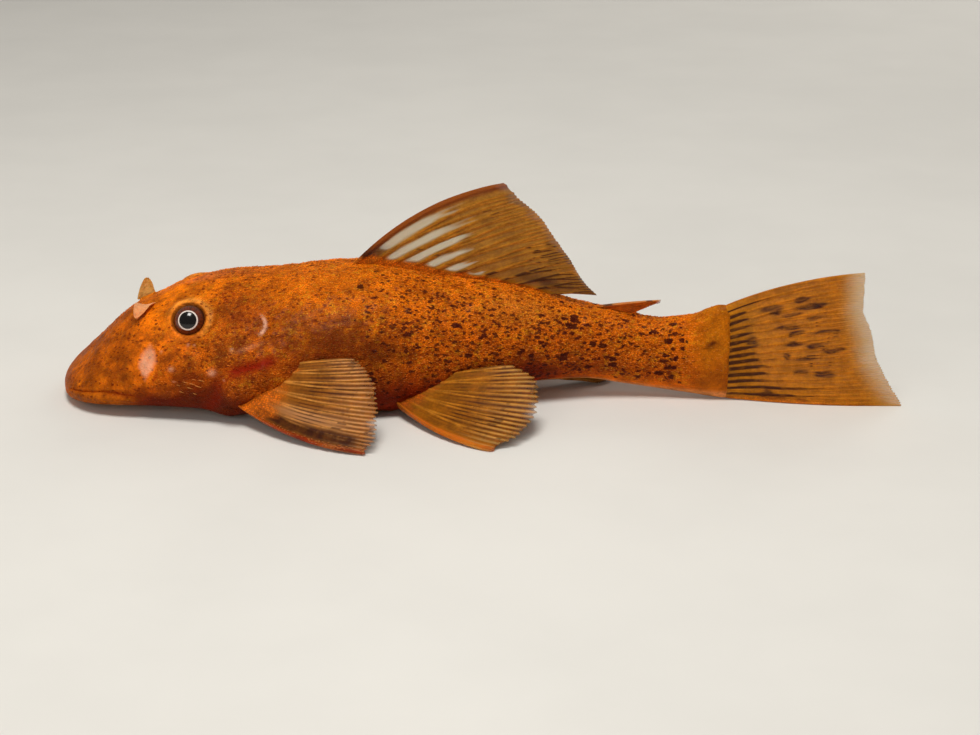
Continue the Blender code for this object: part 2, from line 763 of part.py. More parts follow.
def make_caudal_fin(group, material):
    """The tail fin: rays that fan out from the fleshy base, the lower edge laid on the floor."""
    base_x = CAUDAL_BASE_X + GAP
    _, top, bottom, *_ = section(np.array(CAUDAL_BASE_X))
    ray = np.linspace(0, 1, CAUDAL_RAYS)
    level = np.zeros(CAUDAL_RAYS)
    roots = np.stack([level + base_x, level, bottom + (top - bottom) * ray], axis=-1)
    trailing = np.asarray(CAUDAL_TRAILING, float)
    edge = smooth_curve(ray, trailing[:, 0], trailing[:, 1:]) * MM
    tips = np.stack([edge[:, 0], level, edge[:, 1]], axis=-1)
    bows = roots + (tips - roots) * np.array([0.5, 0.5, CAUDAL_FLARE])
    bows[0, 2] = 0.0
    columns, kinds = ray_columns(CAUDAL_RAYS, spined=False)
    centre = fan(roots, bows, tips, columns, kinds, CAUDAL_ROWS)
    half = fin_thickness(kinds, columns, CAUDAL_ROWS, False)
    v = np.linspace(0, 1, CAUDAL_ROWS)[:, None]
    flesh = caudal_root_half(centre[0, :, 2]) - half[0]
    half = half + flesh[None, :] * np.maximum(1 - v / CAUDAL_FLESH, 0) ** CAUDAL_FLESH_POWER
    centre[..., 1] -= tail_bend(centre[..., 0])
    return sheet("caudal_fin", centre, half, group, material)


def caudal_root_half(z):
    """Half thickness of the tail stalk's end at height z."""
    half_width, top, bottom, middle, upper, lower = section(np.array(CAUDAL_BASE_X))
    power = np.where(z > middle, upper, lower)
    height = np.where(z > middle, top - middle, middle - bottom)
    share = np.clip(np.abs(z - middle) / height, 0, 1)
    return np.maximum(half_width * (1 - share**power) ** (1 / power), WEB_HALF)


def mirror_side(points, side):
    """Points given with their distance to the fish's left, set on one side of the midline plane."""
    return points * np.array([1.0, -side, 1.0])


def make_paired_fin(name, root, bow, tips, swell, side, group, cutters, material):
    """A fan of rays with a fleshy root, trimmed to one gap from the torso that carries it."""
    count = len(tips)
    spread = np.linspace(0, 1, count)[:, None]
    roots = np.array(root[0]) + (np.array(root[1]) - np.array(root[0])) * spread
    bows = np.array(bow[0]) + (np.array(bow[1]) - np.array(bow[0])) * spread
    columns, kinds = ray_columns(count)
    centre = mirror_side(fan(roots, bows, tips, columns, kinds, PAIRED_ROWS) * MM, side)
    v = np.linspace(0, 1, PAIRED_ROWS)[:, None]
    fleshy = swell * np.maximum(1 - v / SWELL_SHARE, 0) ** SWELL_POWER
    half = fin_thickness(kinds, columns, PAIRED_ROWS) + fleshy
    fin = sheet(name, centre, half, group, material)
    boolean(fin, "DIFFERENCE", cutters)
    keep_largest(fin)
    return fin


def add_body_clearance(group):
    """The head and torso grown by one gap, which trim whatever is rooted in them."""
    tip = np.array([SNOUT_X - GAP, 0.0, BODY_SECTIONS[0][2] * MM])
    loft("head_clearance", head_rings(GAP), group, nose=tip)
    loft("torso_clearance", torso_rings(GAP), group)


def main():
    clear_scene()
    parts = new_collection("bristlenose_pleco")
    work = new_collection("joined_forms")
    cutters = new_collection("cutters")
    cutters.hide_render = True
    skin = make_material("orange_skin", SKIN_COLOUR, 0.42, 0.3)
    deep = make_material("flank_skin", DEEP_COLOUR, 0.42, 0.3)
    fin = make_material("amber_fin", FIN_COLOUR, 0.38, 0.3)
    lip = make_material("pale_lip", LIP_COLOUR, 0.5, 0.2)
    eye = make_material("dark_eye", EYE_COLOUR, 0.08, 1.0)
    nodes = [
        make_head(parts, work, cutters, skin),
        make_lips(parts, lip),
        make_eye("eye_left", 1, parts, eye),
        make_eye("eye_right", -1, parts, eye),
        make_torso(parts, skin),
        make_tail_stalk(parts, deep),
        make_dorsal_fin(parts, fin),
        make_adipose_fin(parts, fin),
        make_anal_fin(parts, fin),
        make_caudal_fin(parts, fin),
    ]
    add_body_clearance(cutters)
    for word, side in (("left", 1), ("right", -1)):
        nodes.append(make_paired_fin(
            f"pectoral_fin_{word}", PECTORAL_ROOT, PECTORAL_BOW, PECTORAL_TIPS, PECTORAL_SWELL,
            side, parts, cutters, fin,
        ))
        nodes.append(make_paired_fin(
            f"pelvic_fin_{word}", PELVIC_ROOT, PELVIC_BOW, PELVIC_TIPS, PELVIC_SWELL,
            side, parts, cutters, fin,
        ))
    empty_out(cutters)
    holder = bpy.data.objects.new("pleco", None)
    parts.objects.link(holder)
    for node in nodes:
        node.parent = holder


if __name__ == "__main__":
    main()
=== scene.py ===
"""Looks of the bristlenose pleco: one orange skin over head, trunk and tail, with eyes, nasal flaps, sucker
mouth, cheek spines, rayed fins and a coat of fine odontodes.

Lengths are in metres in the frame's own axes: +X towards the tail, -Y the fish's left, +Z up, floor at 0.
Body places are given as a distance along X in millimetres and an angle of the section in degrees: 90 is the
crown, 0 the widest point of either flank and -90 the midline of the belly.
"""

import itertools
import logging
import math
from dataclasses import dataclass, field
from enum import Enum

import bpy
import numpy as np
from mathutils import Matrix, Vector


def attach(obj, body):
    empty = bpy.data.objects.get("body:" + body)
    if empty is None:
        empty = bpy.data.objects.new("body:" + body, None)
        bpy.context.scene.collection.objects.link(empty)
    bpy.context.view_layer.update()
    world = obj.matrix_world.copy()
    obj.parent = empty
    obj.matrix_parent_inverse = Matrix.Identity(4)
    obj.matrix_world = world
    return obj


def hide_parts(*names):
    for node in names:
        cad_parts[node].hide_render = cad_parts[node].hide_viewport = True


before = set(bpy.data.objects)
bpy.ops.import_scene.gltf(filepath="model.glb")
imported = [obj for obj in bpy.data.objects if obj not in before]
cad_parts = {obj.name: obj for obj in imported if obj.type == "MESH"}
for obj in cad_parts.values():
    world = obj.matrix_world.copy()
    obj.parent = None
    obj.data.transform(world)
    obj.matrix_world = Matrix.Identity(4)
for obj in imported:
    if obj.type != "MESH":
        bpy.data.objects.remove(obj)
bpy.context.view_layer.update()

MM = 0.001
log = logging.getLogger("pleco")

Array = np.ndarray
Colour = tuple[float, float, float]


class Side(Enum):
    """The two sides of the fish, as the sign of the distance towards its left."""

    LEFT = 1
    RIGHT = -1


class Slot(Enum):
    """The material slots of the part's record."""

    SKIN = "skin"
    FIN = "fin"
    LIP = "lip"
    EYE = "eye"


def smooth_step(value: Array, start: float, end: float) -> Array:
    """3t² - 2t³ of the share t of the way from start to end, held at 0 and 1 outside them."""
    share = np.clip((np.asarray(value, float) - start) / (end - start), 0.0, 1.0)
    return share * share * (3.0 - 2.0 * share)


def hump(value: Array, centre: float, width: float) -> Array:
    """A bell of height 1: exp(-((value - centre) / width)²)."""
    return np.exp(-(((np.asarray(value, float) - centre) / width) ** 2))


def unit(vectors: Array) -> Array:
    """The vectors of the last axis divided by their own lengths."""
    length = np.linalg.norm(vectors, axis=-1, keepdims=True)
    return vectors / np.maximum(length, 1e-12)


def smooth_curve(at: Array, knots: Array, values: Array) -> Array:
    """Cubic Hermite curve whose slopes are harmonic means, so that it adds no bump between its knots.

    Args:
        at: Where the curve is read, any shape.
        knots: Rising places of the values.
        values: A value or a vector for each knot.

    Returns:
        The curve's values, with the shape of at and any extra axis of values.
    """
    at, knots, values = (np.asarray(item, float) for item in (at, knots, values))
    flat = values.reshape(len(knots), -1)
    step = np.diff(knots)[:, None]
    slope = np.diff(flat, axis=0) / step
    product = slope[:-1] * slope[1:]
    total = slope[:-1] + slope[1:]
    tangent = np.zeros_like(flat)
    tangent[1:-1] = np.where(product > 0, 2 * product / np.where(total == 0, 1, total), 0)
    tangent[0] = slope[0]
    tangent[-1] = slope[-1]
    index = np.clip(np.searchsorted(knots, at.ravel(), side="right") - 1, 0, len(knots) - 2)
    width = step[index]
    t = (at.ravel()[:, None] - knots[index][:, None]) / width
    low = (1 + 2 * t) * (1 - t) ** 2 * flat[index] + t * (1 - t) ** 2 * width * tangent[index]
    high = t * t * (3 - 2 * t) * flat[index + 1] - t * t * (1 - t) * width * tangent[index + 1]
    return (low + high).reshape(at.shape + values.shape[1:])


def lattice_noise(points: Array, spacing: float, seed: int) -> Array:
    """Noise from 0 to 1: random values on a cubic lattice, blended along each axis with 3t² - 2t³.

    Args:
        points: Places in space, with their coordinates on the last axis.
        spacing: Distance between lattice points.
        seed: Chooses the lattice's values.

    Returns:
        One value for each place.
    """
    table = np.random.default_rng(seed).random(4096)
    scaled = np.asarray(points, float) / spacing
    cell = np.floor(scaled).astype(np.int64)
    share = scaled - cell
    share = share * share * (3.0 - 2.0 * share)
    total = np.zeros(scaled.shape[:-1])
    for corner in itertools.product((0, 1), repeat=3):
        at = cell + np.array(corner)
        index = (at[..., 0] * 73856093 ^ at[..., 1] * 19349663 ^ at[..., 2] * 83492791) & 4095
        weight = np.prod(np.where(np.array(corner) == 1, share, 1.0 - share), axis=-1)
        total += weight * table[index]
    return total


def crowded_steps(start: float, end: float, count: int, density: Array, places: Array) -> Array:
    """Rising places from start to end, closest where the density is highest.

    Args:
        start: First place.
        end: Last place.
        count: How many places.
        density: Density at each of the sample places.
        places: The sample places.

    Returns:
        Places whose running sum of density grows by equal steps.
    """
    fine = np.linspace(start, end, 4000)
    running = np.cumsum(np.interp(fine, places, density))
    running = (running - running[0]) / (running[-1] - running[0])
    return np.interp(np.linspace(0, 1, count), running, fine)


def grid_faces(rows: int, columns: int, closed: bool) -> Array:
    """Quads of a grid of points stored row by row; closed joins the last column to the first."""
    index = np.arange(rows * columns).reshape(rows, columns)
    after = np.roll(index, -1, axis=1) if closed else index[:, 1:]
    here = index if closed else index[:, :-1]
    return np.stack([here[:-1], after[:-1], after[1:], here[1:]], axis=-1).reshape(-1, 4)


def facing_out(points: Array, quads: Array, triangles: Array) -> tuple[Array, Array]:
    """The faces of a closed surface, turned over if the volume that they enclose is negative."""
    split = np.concatenate([quads[:, :3], quads[:, [0, 2, 3]], triangles])
    first, second, third = (points[split[:, corner]] for corner in range(3))
    if np.sum(first * np.cross(second, third)) < 0:
        return quads[:, ::-1], triangles[:, ::-1]
    return quads, triangles


def make_object(name: str, points: Array, quads: Array, triangles: Array | None = None,
                closed: bool = True) -> bpy.types.Object:
    """A smooth mesh object at the origin from arrays, with its faces outwards.

    Args:
        name: The piece's name.
        points: Vertices, one row each.
        quads: Four vertex numbers a row.
        triangles: Three vertex numbers a row, if any.
        closed: Whether the faces enclose a volume, which then says which way is out.

    Returns:
        The new object, linked to the scene.
    """
    triangles = np.zeros((0, 3), int) if triangles is None else triangles
    if closed:
        quads, triangles = facing_out(points, quads, triangles)
    loops = np.concatenate([quads.ravel(), triangles.ravel()]).astype(np.int32)
    starts = np.concatenate([
        np.arange(len(quads)) * 4,
        len(quads) * 4 + np.arange(len(triangles)) * 3,
    ]).astype(np.int32)
    mesh = bpy.data.meshes.new(name)
    mesh.vertices.add(len(points))
    mesh.vertices.foreach_set("co", np.ascontiguousarray(points, np.float32).ravel())
    mesh.loops.add(len(loops))
    mesh.loops.foreach_set("vertex_index", loops)
    mesh.polygons.add(len(starts))
    mesh.polygons.foreach_set("loop_start", starts)
    mesh.update(calc_edges=True)
    mesh.validate()
    mesh.shade_smooth()
    made = bpy.data.objects.new(name, mesh)
    bpy.context.scene.collection.objects.link(made)
    return made


def make_closed(name: str, rings: Array, poles: Array) -> bpy.types.Object:
    """A closed surface through rings of points, with a pole beyond the first ring and one beyond the last.

    Args:
        name: The piece's name.
        rings: Points by ring, then by place round the ring.
        poles: The two poles.

    Returns:
        The object, whose vertices are the rings' points and then the poles.
    """
    rows, columns = rings.shape[:2]
    ring = np.arange(columns)
    after = np.roll(ring, -1)
    last = (rows - 1) * columns
    start = np.stack([after, ring, np.full(columns, rows * columns)], axis=1)
    end = np.stack([last + ring, last + after, np.full(columns, rows * columns + 1)], axis=1)
    points = np.concatenate([rings.reshape(-1, 3), poles])
    return make_object(name, points, grid_faces(rows, columns, closed=True), np.concatenate([start, end]))


def store(piece: bpy.types.Object, name: str, values: Array) -> None:
    """Keeps one number, or one vector of three, for each vertex as a named attribute."""
    values = np.asarray(values, np.float32)
    if values.ndim == 1:
        made = piece.data.attributes.new(name, "FLOAT", "POINT")
        made.data.foreach_set("value", values)
    else:
        made = piece.data.attributes.new(name, "FLOAT_VECTOR", "POINT")
        made.data.foreach_set("vector", values.ravel())


def store_uv(piece: bpy.types.Object, name: str, places: Array) -> None:
    """Keeps a UV map that gives each corner the place of its vertex."""
    mesh = piece.data
    corner = np.empty(len(mesh.loops), np.int32)
    mesh.loops.foreach_get("vertex_index", corner)
    layer = mesh.uv_layers.new(name=name)
    layer.data.foreach_set("uv", np.asarray(places, np.float32)[corner].ravel())


def dress(piece: bpy.types.Object, material: bpy.types.Material, slot: Slot, *nodes: str) -> bpy.types.Object:
    """Gives a piece its finish, parents it to the root and hides the solids that it stands for.

    Args:
        piece: The finished piece.
        material: Its material.
        slot: The record's slot that it takes its finish from; not used.
        nodes: Names of the solids that it replaces.

    Returns:
        The same piece.
    """
    piece.data.materials.clear()
    piece.data.materials.append(material)
    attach(piece, "root")
    if nodes:
        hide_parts(*nodes)
    log.info("%s: %d faces", piece.name, len(piece.data.polygons))
    return piece


class NodeMaker:
    """Short calls for the shader nodes that the finishes use. Plain numbers and sockets are both taken."""

    def __init__(self, tree: bpy.types.NodeTree) -> None:
        """Works in the given tree."""
        self.tree = tree

    def node(self, kind: str, inputs: dict | None = None, **settings: object) -> bpy.types.Node:
        """A new node with its settings, and its inputs set to numbers or joined to sockets.

        Args:
            kind: Blender's name of the node type.
            inputs: Values or sockets by input name or number.
            settings: Properties of the node.

        Returns:
            The node.
        """
        made = self.tree.nodes.new(kind)
        for key, value in settings.items():
            setattr(made, key, value)
        for key, value in (inputs or {}).items():
            self.feed(made.inputs[key], value)
        return made

    def feed(self, socket: bpy.types.NodeSocket, value: object) -> None:
        """Joins a socket to the input, or sets the input to a number, colour or vector."""
        if isinstance(value, bpy.types.NodeSocket):
            self.tree.links.new(value, socket)
        elif isinstance(value, tuple) and socket.type == "RGBA":
            socket.default_value = (*value[:3], 1.0)
        else:
            socket.default_value = value

    def math(self, operation: str, first: object, second: object = 0.0, clamp: bool = False) -> object:
        """The output of a Math node on two values."""
        return self.node("ShaderNodeMath", {0: first, 1: second}, operation=operation, use_clamp=clamp).outputs[0]

    def mix(self, mask: object, first: object, second: object, blend: str = "MIX") -> object:
        """A colour that goes from first to second with the mask."""
        made = self.node(
            "ShaderNodeMix", {0: mask, 6: first, 7: second}, data_type="RGBA", blend_type=blend, clamp_factor=True
        )
        return made.outputs[2]

    def span(self, value: object, low: float, high: float, start: float = 0.0, end: float = 1.0) -> object:
        """The value carried smoothly from low..high to start..end, and held there outside."""
        made = self.node(
            "ShaderNodeMapRange",
            {"Value": value, "From Min": low, "From Max": high, "To Min": start, "To Max": end},
            interpolation_type="SMOOTHSTEP",
        )
        return made.outputs["Result"]

    def attribute(self, name: str, output: str = "Fac") -> object:
        """An output of the piece's own attribute."""
        return self.node("ShaderNodeAttribute", attribute_name=name).outputs[output]

    def place(self) -> object:
        """The Object coordinates."""
        return self.node("ShaderNodeTexCoord").outputs["Object"]

    def scaled(self, vector: object, scale: tuple[float, float, float]) -> object:
        """A vector with each axis multiplied."""
        return self.node("ShaderNodeVectorMath", {0: vector, 1: scale}, operation="MULTIPLY").outputs[0]

    def noise(self, vector: object, scale: object, detail: float = 3.0, rough: float = 0.55) -> object:
        """The value of a Noise texture."""
        made = self.node(
            "ShaderNodeTexNoise", {"Vector": vector, "Scale": scale, "Detail": detail, "Roughness": rough}
        )
        return made.outputs["Fac"]

    def cells(self, vector: object, scale: object, spread: float = 1.0) -> bpy.types.Node:
        """A Voronoi node whose cells are about 1 / scale across."""
        return self.node("ShaderNodeTexVoronoi", {"Vector": vector, "Scale": scale, "Randomness": spread})

    def parts(self, vector: object) -> list:
        """The X, Y and Z of a vector."""
        return list(self.node("ShaderNodeSeparateXYZ", {0: vector}).outputs)

    def bump(self, height: object, distance: float, strength: float = 1.0, normal: object = None) -> object:
        """A normal bent by a height, where distance is the height's size in metres."""
        inputs = {"Height": height, "Distance": distance, "Strength": strength}
        if normal is not None:
            inputs["Normal"] = normal
        return self.node("ShaderNodeBump", inputs).outputs["Normal"]

    def effect(self, group: bpy.types.NodeTree, **inputs: object) -> bpy.types.Node:
        """A placed node group, with its inputs by name and underscores read as spaces."""
        made = self.tree.nodes.new("ShaderNodeGroup")
        made.node_tree = group
        for key, value in inputs.items():
            self.feed(made.inputs[key.replace("_", " ")], value)
        return made


class SharedEffects:
    """Node groups for the patterns that more than one finish uses."""

    def __init__(self) -> None:
        """Builds each group once."""
        self.granules = self.make_granules()
        self.blotches = self.make_blotches()
        self.mottle = self.make_mottle()

    @staticmethod
    def start(name: str, inputs: dict[str, str], outputs: dict[str, str]) -> tuple[NodeMaker, object, object]:
        """An empty group with its sockets.

        Args:
            name: The group's name.
            inputs: Socket type by input name.
            outputs: Socket type by output name.

        Returns:
            A maker for the group, its input node and its output node.
        """
        tree = bpy.data.node_groups.new(name, "ShaderNodeTree")
        for direction, sockets in (("INPUT", inputs), ("OUTPUT", outputs)):
            for key, kind in sockets.items():
                tree.interface.new_socket(name=key, in_out=direction, socket_type=f"NodeSocket{kind}")
        maker = NodeMaker(tree)
        return maker, tree.nodes.new("NodeGroupInput"), tree.nodes.new("NodeGroupOutput")

    def make_granules(self) -> bpy.types.NodeTree:
        """Rounded grains, as the roots of odontodes: height 1 at a cell's centre, 0 at its rim."""
        maker, given, out = self.start(
            "granules", {"Vector": "Vector", "Scale": "Float"}, {"Height": "Float", "Tone": "Float"}
        )
        cells = maker.cells(given.outputs["Vector"], given.outputs["Scale"], 0.85)
        height = maker.span(cells.outputs["Distance"], 0.08, 0.62, 1.0, 0.0)
        tone = maker.parts(cells.outputs["Color"])[0]
        maker.feed(out.inputs["Height"], height)
        maker.feed(out.inputs["Tone"], tone)
        return maker.tree

    def make_blotches(self) -> bpy.types.NodeTree:
        """Irregular spots: a cell holds one where its random number is under Density, of radius Size."""
        maker, given, out = self.start(
            "blotches",
            {"Vector": "Vector", "Scale": "Float", "Density": "Float", "Size": "Float", "Wobble": "Float"},
            {"Mask": "Float"},
        )
        vector = given.outputs["Vector"]
        ragged = maker.node(
            "ShaderNodeTexNoise",
            {"Vector": vector, "Scale": maker.math("MULTIPLY", given.outputs["Scale"], 2.1), "Detail": 3.0},
        )
        centred = maker.node(
            "ShaderNodeVectorMath", {0: ragged.outputs["Color"], 1: (0.5, 0.5, 0.5)}, operation="SUBTRACT"
        )
        wobble = maker.node("ShaderNodeVectorMath", {0: centred.outputs[0]}, operation="SCALE")
        maker.feed(wobble.inputs["Scale"], given.outputs["Wobble"])
        moved = maker.node("ShaderNodeVectorMath", {0: vector, 1: wobble.outputs[0]}, operation="ADD")
        cells = maker.cells(moved.outputs[0], given.outputs["Scale"])
        pick, size, _ = maker.parts(cells.outputs["Color"])
        held = maker.math("LESS_THAN", pick, given.outputs["Density"])
        radius = maker.math("MULTIPLY", given.outputs["Size"], maker.span(size, 0.0, 1.0, 0.55, 1.25))
        edge = maker.math("SUBTRACT", radius, cells.outputs["Distance"])
        mask = maker.math("MULTIPLY", maker.span(edge, -0.03, 0.1), held)
        maker.feed(out.inputs["Mask"], mask)
        return maker.tree

    def make_mottle(self) -> bpy.types.NodeTree:
        """Uneven pigment: two sizes of noise that darken and lighten a colour by Amount."""
        maker, given, out = self.start(
            "mottle",
            {"Vector": "Vector", "Colour": "Color", "Scale": "Float", "Amount": "Float"},
            {"Colour": "Color", "Value": "Float"},
        )
        vector, scale = given.outputs["Vector"], given.outputs["Scale"]
        broad = maker.noise(vector, scale, 4.0)
        fine = maker.noise(vector, maker.math("MULTIPLY", scale, 4.7), 3.0)
        both = maker.math("ADD", maker.math("MULTIPLY", broad, 0.6), maker.math("MULTIPLY", fine, 0.4))
        value = maker.span(both, 0.34, 0.66)
        swing = maker.math("MULTIPLY", maker.math("SUBTRACT", value, 0.5), given.outputs["Amount"])
        gain = maker.math("ADD", swing, 1.0)
        tinted = maker.node("ShaderNodeVectorMath", {0: given.outputs["Colour"]}, operation="SCALE")
        maker.feed(tinted.inputs["Scale"], gain)
        maker.feed(out.inputs["Colour"], tinted.outputs[0])
        maker.feed(out.inputs["Value"], value)
        return maker.tree


def new_material(name: str) -> tuple[bpy.types.Material, NodeMaker, bpy.types.Node]:
    """A material with its node maker and its Principled shader."""
    made = bpy.data.materials.new(name)
    made.use_nodes = True
    return made, NodeMaker(made.node_tree), made.node_tree.nodes["Principled BSDF"]


@dataclass(frozen=True)
class SkinFinish:
    """Damp orange skin: uneven pigment, maroon spots and freckles, pale odontode tips and fine grain."""

    name: str = "orange_skin"
    spot: Colour = (0.05, 0.004, 0.002)
    freckle: Colour = (0.14, 0.016, 0.001)
    murk: Colour = (0.16, 0.032, 0.002)
    grain_tip: Colour = (1.0, 0.52, 0.04)
    lit: Colour = (1.0, 0.42, 0.012)
    pink: Colour = (0.88, 0.46, 0.3)
    # red of the skin's folds and marks, also laid as painted shade in the gill and lip grooves
    red: Colour = (0.25, 0.012, 0.001)
    specular: float = 0.05
    grain_scale: float = 5200.0
    dot_scale: float = 2600.0
    spot_scale: float = 1050.0
    fleck_scale: float = 1900.0
    freckle_scale: float = 2700.0

    def make(self, effects: SharedEffects) -> bpy.types.Material:
        """Builds the material.

        Args:
            effects: The shared node groups.

        Returns:
            A material that reads the skin's tint and its masks: spotted, flecked, freckled, murky, granular,
            pink and red.
        """
        material, maker, shader = new_material(self.name)
        place = maker.place()
        granular = maker.attribute("granular")
        mottle = maker.effect(
            effects.mottle, Vector=place, Colour=maker.attribute("tint", "Color"), Scale=560.0, Amount=0.65
        )
        colour = self.murky(maker, place, mottle.outputs["Colour"])
        colour = self.peppered(maker, place, granular, colour)
        grains = maker.effect(effects.granules, Vector=place, Scale=self.grain_scale)
        hollow = maker.math("SUBTRACT", 1.0, grains.outputs["Height"])
        colour = maker.mix(maker.math("MULTIPLY", hollow, maker.math("MULTIPLY", granular, 0.6)), colour, self.freckle)
        colour = self.dotted(maker, effects, place, granular, colour)
        colour = self.marked(maker, effects, place, colour)
        relief = maker.math("MULTIPLY", grains.outputs["Height"], maker.span(granular, 0.0, 1.0, 0.35, 1.0))
        normal = maker.bump(mottle.outputs["Value"], 0.00005)
        maker.feed(shader.inputs["Normal"], maker.bump(relief, 0.00007, 1.0, normal))
        maker.feed(shader.inputs["Base Color"], colour)
        maker.feed(shader.inputs["Roughness"], maker.span(mottle.outputs["Value"], 0.0, 1.0, 0.4, 0.6))
        shader.inputs["Specular IOR Level"].default_value = self.specular
        shader.inputs["Coat Weight"].default_value = 0.02
        shader.inputs["Coat Roughness"].default_value = 0.25
        shader.inputs["Subsurface Weight"].default_value = 0.12
        shader.inputs["Subsurface Radius"].default_value = (1.0, 0.35, 0.1)
        shader.inputs["Subsurface Scale"].default_value = 0.0008
        return material

    def murky(self, maker: NodeMaker, place: object, colour: object) -> object:
        """Adds olive-brown clouds where the murky mask and a noise both run high."""
        cloud = maker.noise(place, 620.0, 5.0, 0.68)
        lot = maker.math("ADD", cloud, maker.math("MULTIPLY", maker.attribute("murky"), 0.4))
        return maker.mix(maker.span(lot, 0.64, 0.9, 0.0, 0.8), colour, self.murk)

    def peppered(self, maker: NodeMaker, place: object, granular: object, colour: object) -> object:
        """Adds a fine net of bright and dark pigment between the grains.

        Args:
            maker: Adds the nodes.
            place: Object coordinates.
            granular: Mask of the grain.
            colour: The colour so far.

        Returns:
            The new colour.
        """
        lively = maker.math("MULTIPLY", granular, maker.attribute("bright"))
        broad = maker.noise(place, 520.0, 2.0, 0.5)
        lit = maker.noise(maker.scaled(place, (0.8, 1.2, 1.2)), 1500.0, 3.0, 0.62)
        lit = maker.math("ADD", lit, maker.math("MULTIPLY", maker.math("SUBTRACT", broad, 0.5), 0.35))
        colour = maker.mix(maker.math("MULTIPLY", maker.span(lit, 0.52, 0.68, 0.0, 0.55), lively), colour, self.lit)
        dark = maker.noise(maker.scaled(place, (1.5, 2.2, 2.2)), 1100.0, 3.0, 0.6)
        lot = maker.math("ADD", dark, maker.math("MULTIPLY", maker.attribute("murky"), 0.08))
        lot = maker.math("SUBTRACT", lot, maker.math("MULTIPLY", maker.math("SUBTRACT", broad, 0.5), 0.25))
        return maker.mix(maker.math("MULTIPLY", maker.span(lot, 0.58, 0.7, 0.0, 0.66), granular), colour, self.freckle)

    def dotted(self, maker: NodeMaker, effects: SharedEffects, place: object, granular: object,
               colour: object) -> object:
        """Adds the pale tips of the odontodes on some of the larger grains.

        Args:
            maker: Adds the nodes.
            effects: The shared node groups.
            place: Object coordinates.
            granular: Mask of the grain.
            colour: The colour so far.

        Returns:
            The new colour.
        """
        dots = maker.effect(effects.granules, Vector=place, Scale=self.dot_scale)
        tips = maker.math("MULTIPLY", maker.span(dots.outputs["Height"], 0.7, 0.95), granular)
        chosen = maker.math("MULTIPLY", maker.span(dots.outputs["Tone"], 0.45, 0.75), maker.attribute("bright"))
        return maker.mix(maker.math("MULTIPLY", maker.math("MULTIPLY", tips, chosen), 0.36), colour, self.grain_tip)

    def marked(self, maker: NodeMaker, effects: SharedEffects, place: object, colour: object) -> object:
        """Adds freckles, flecks and spots, each from its own mask, and then the red marks with the painted shade of the
        gill and lip grooves, and the pink marks.

        Args:
            maker: Adds the nodes.
            effects: The shared node groups.
            place: Object coordinates.
            colour: The colour so far.

        Returns:
            The new colour.
        """
        layers = (
            ("freckled", self.freckle_scale, 0.38, 0.0003, 0.8, self.freckle),
            ("flecked", self.fleck_scale, 0.39, 0.0005, 0.85, self.spot),
            ("spotted", self.spot_scale, 0.37, 0.0007, 0.92, self.spot),
        )
        drawn = maker.scaled(place, (0.72, 1.0, 1.2))
        for mask, scale, size, wobble, strength, pigment in layers:
            marks = maker.effect(
                effects.blotches, Vector=drawn, Scale=scale, Density=maker.attribute(mask), Size=size, Wobble=wobble
            )
            colour = maker.mix(maker.math("MULTIPLY", marks.outputs["Mask"], strength), colour, pigment)
        # red marks, with painted shade in the gill and lip grooves
        colour = maker.mix(maker.attribute("red"), colour, self.red)
        return maker.mix(maker.attribute("pink"), colour, self.pink)


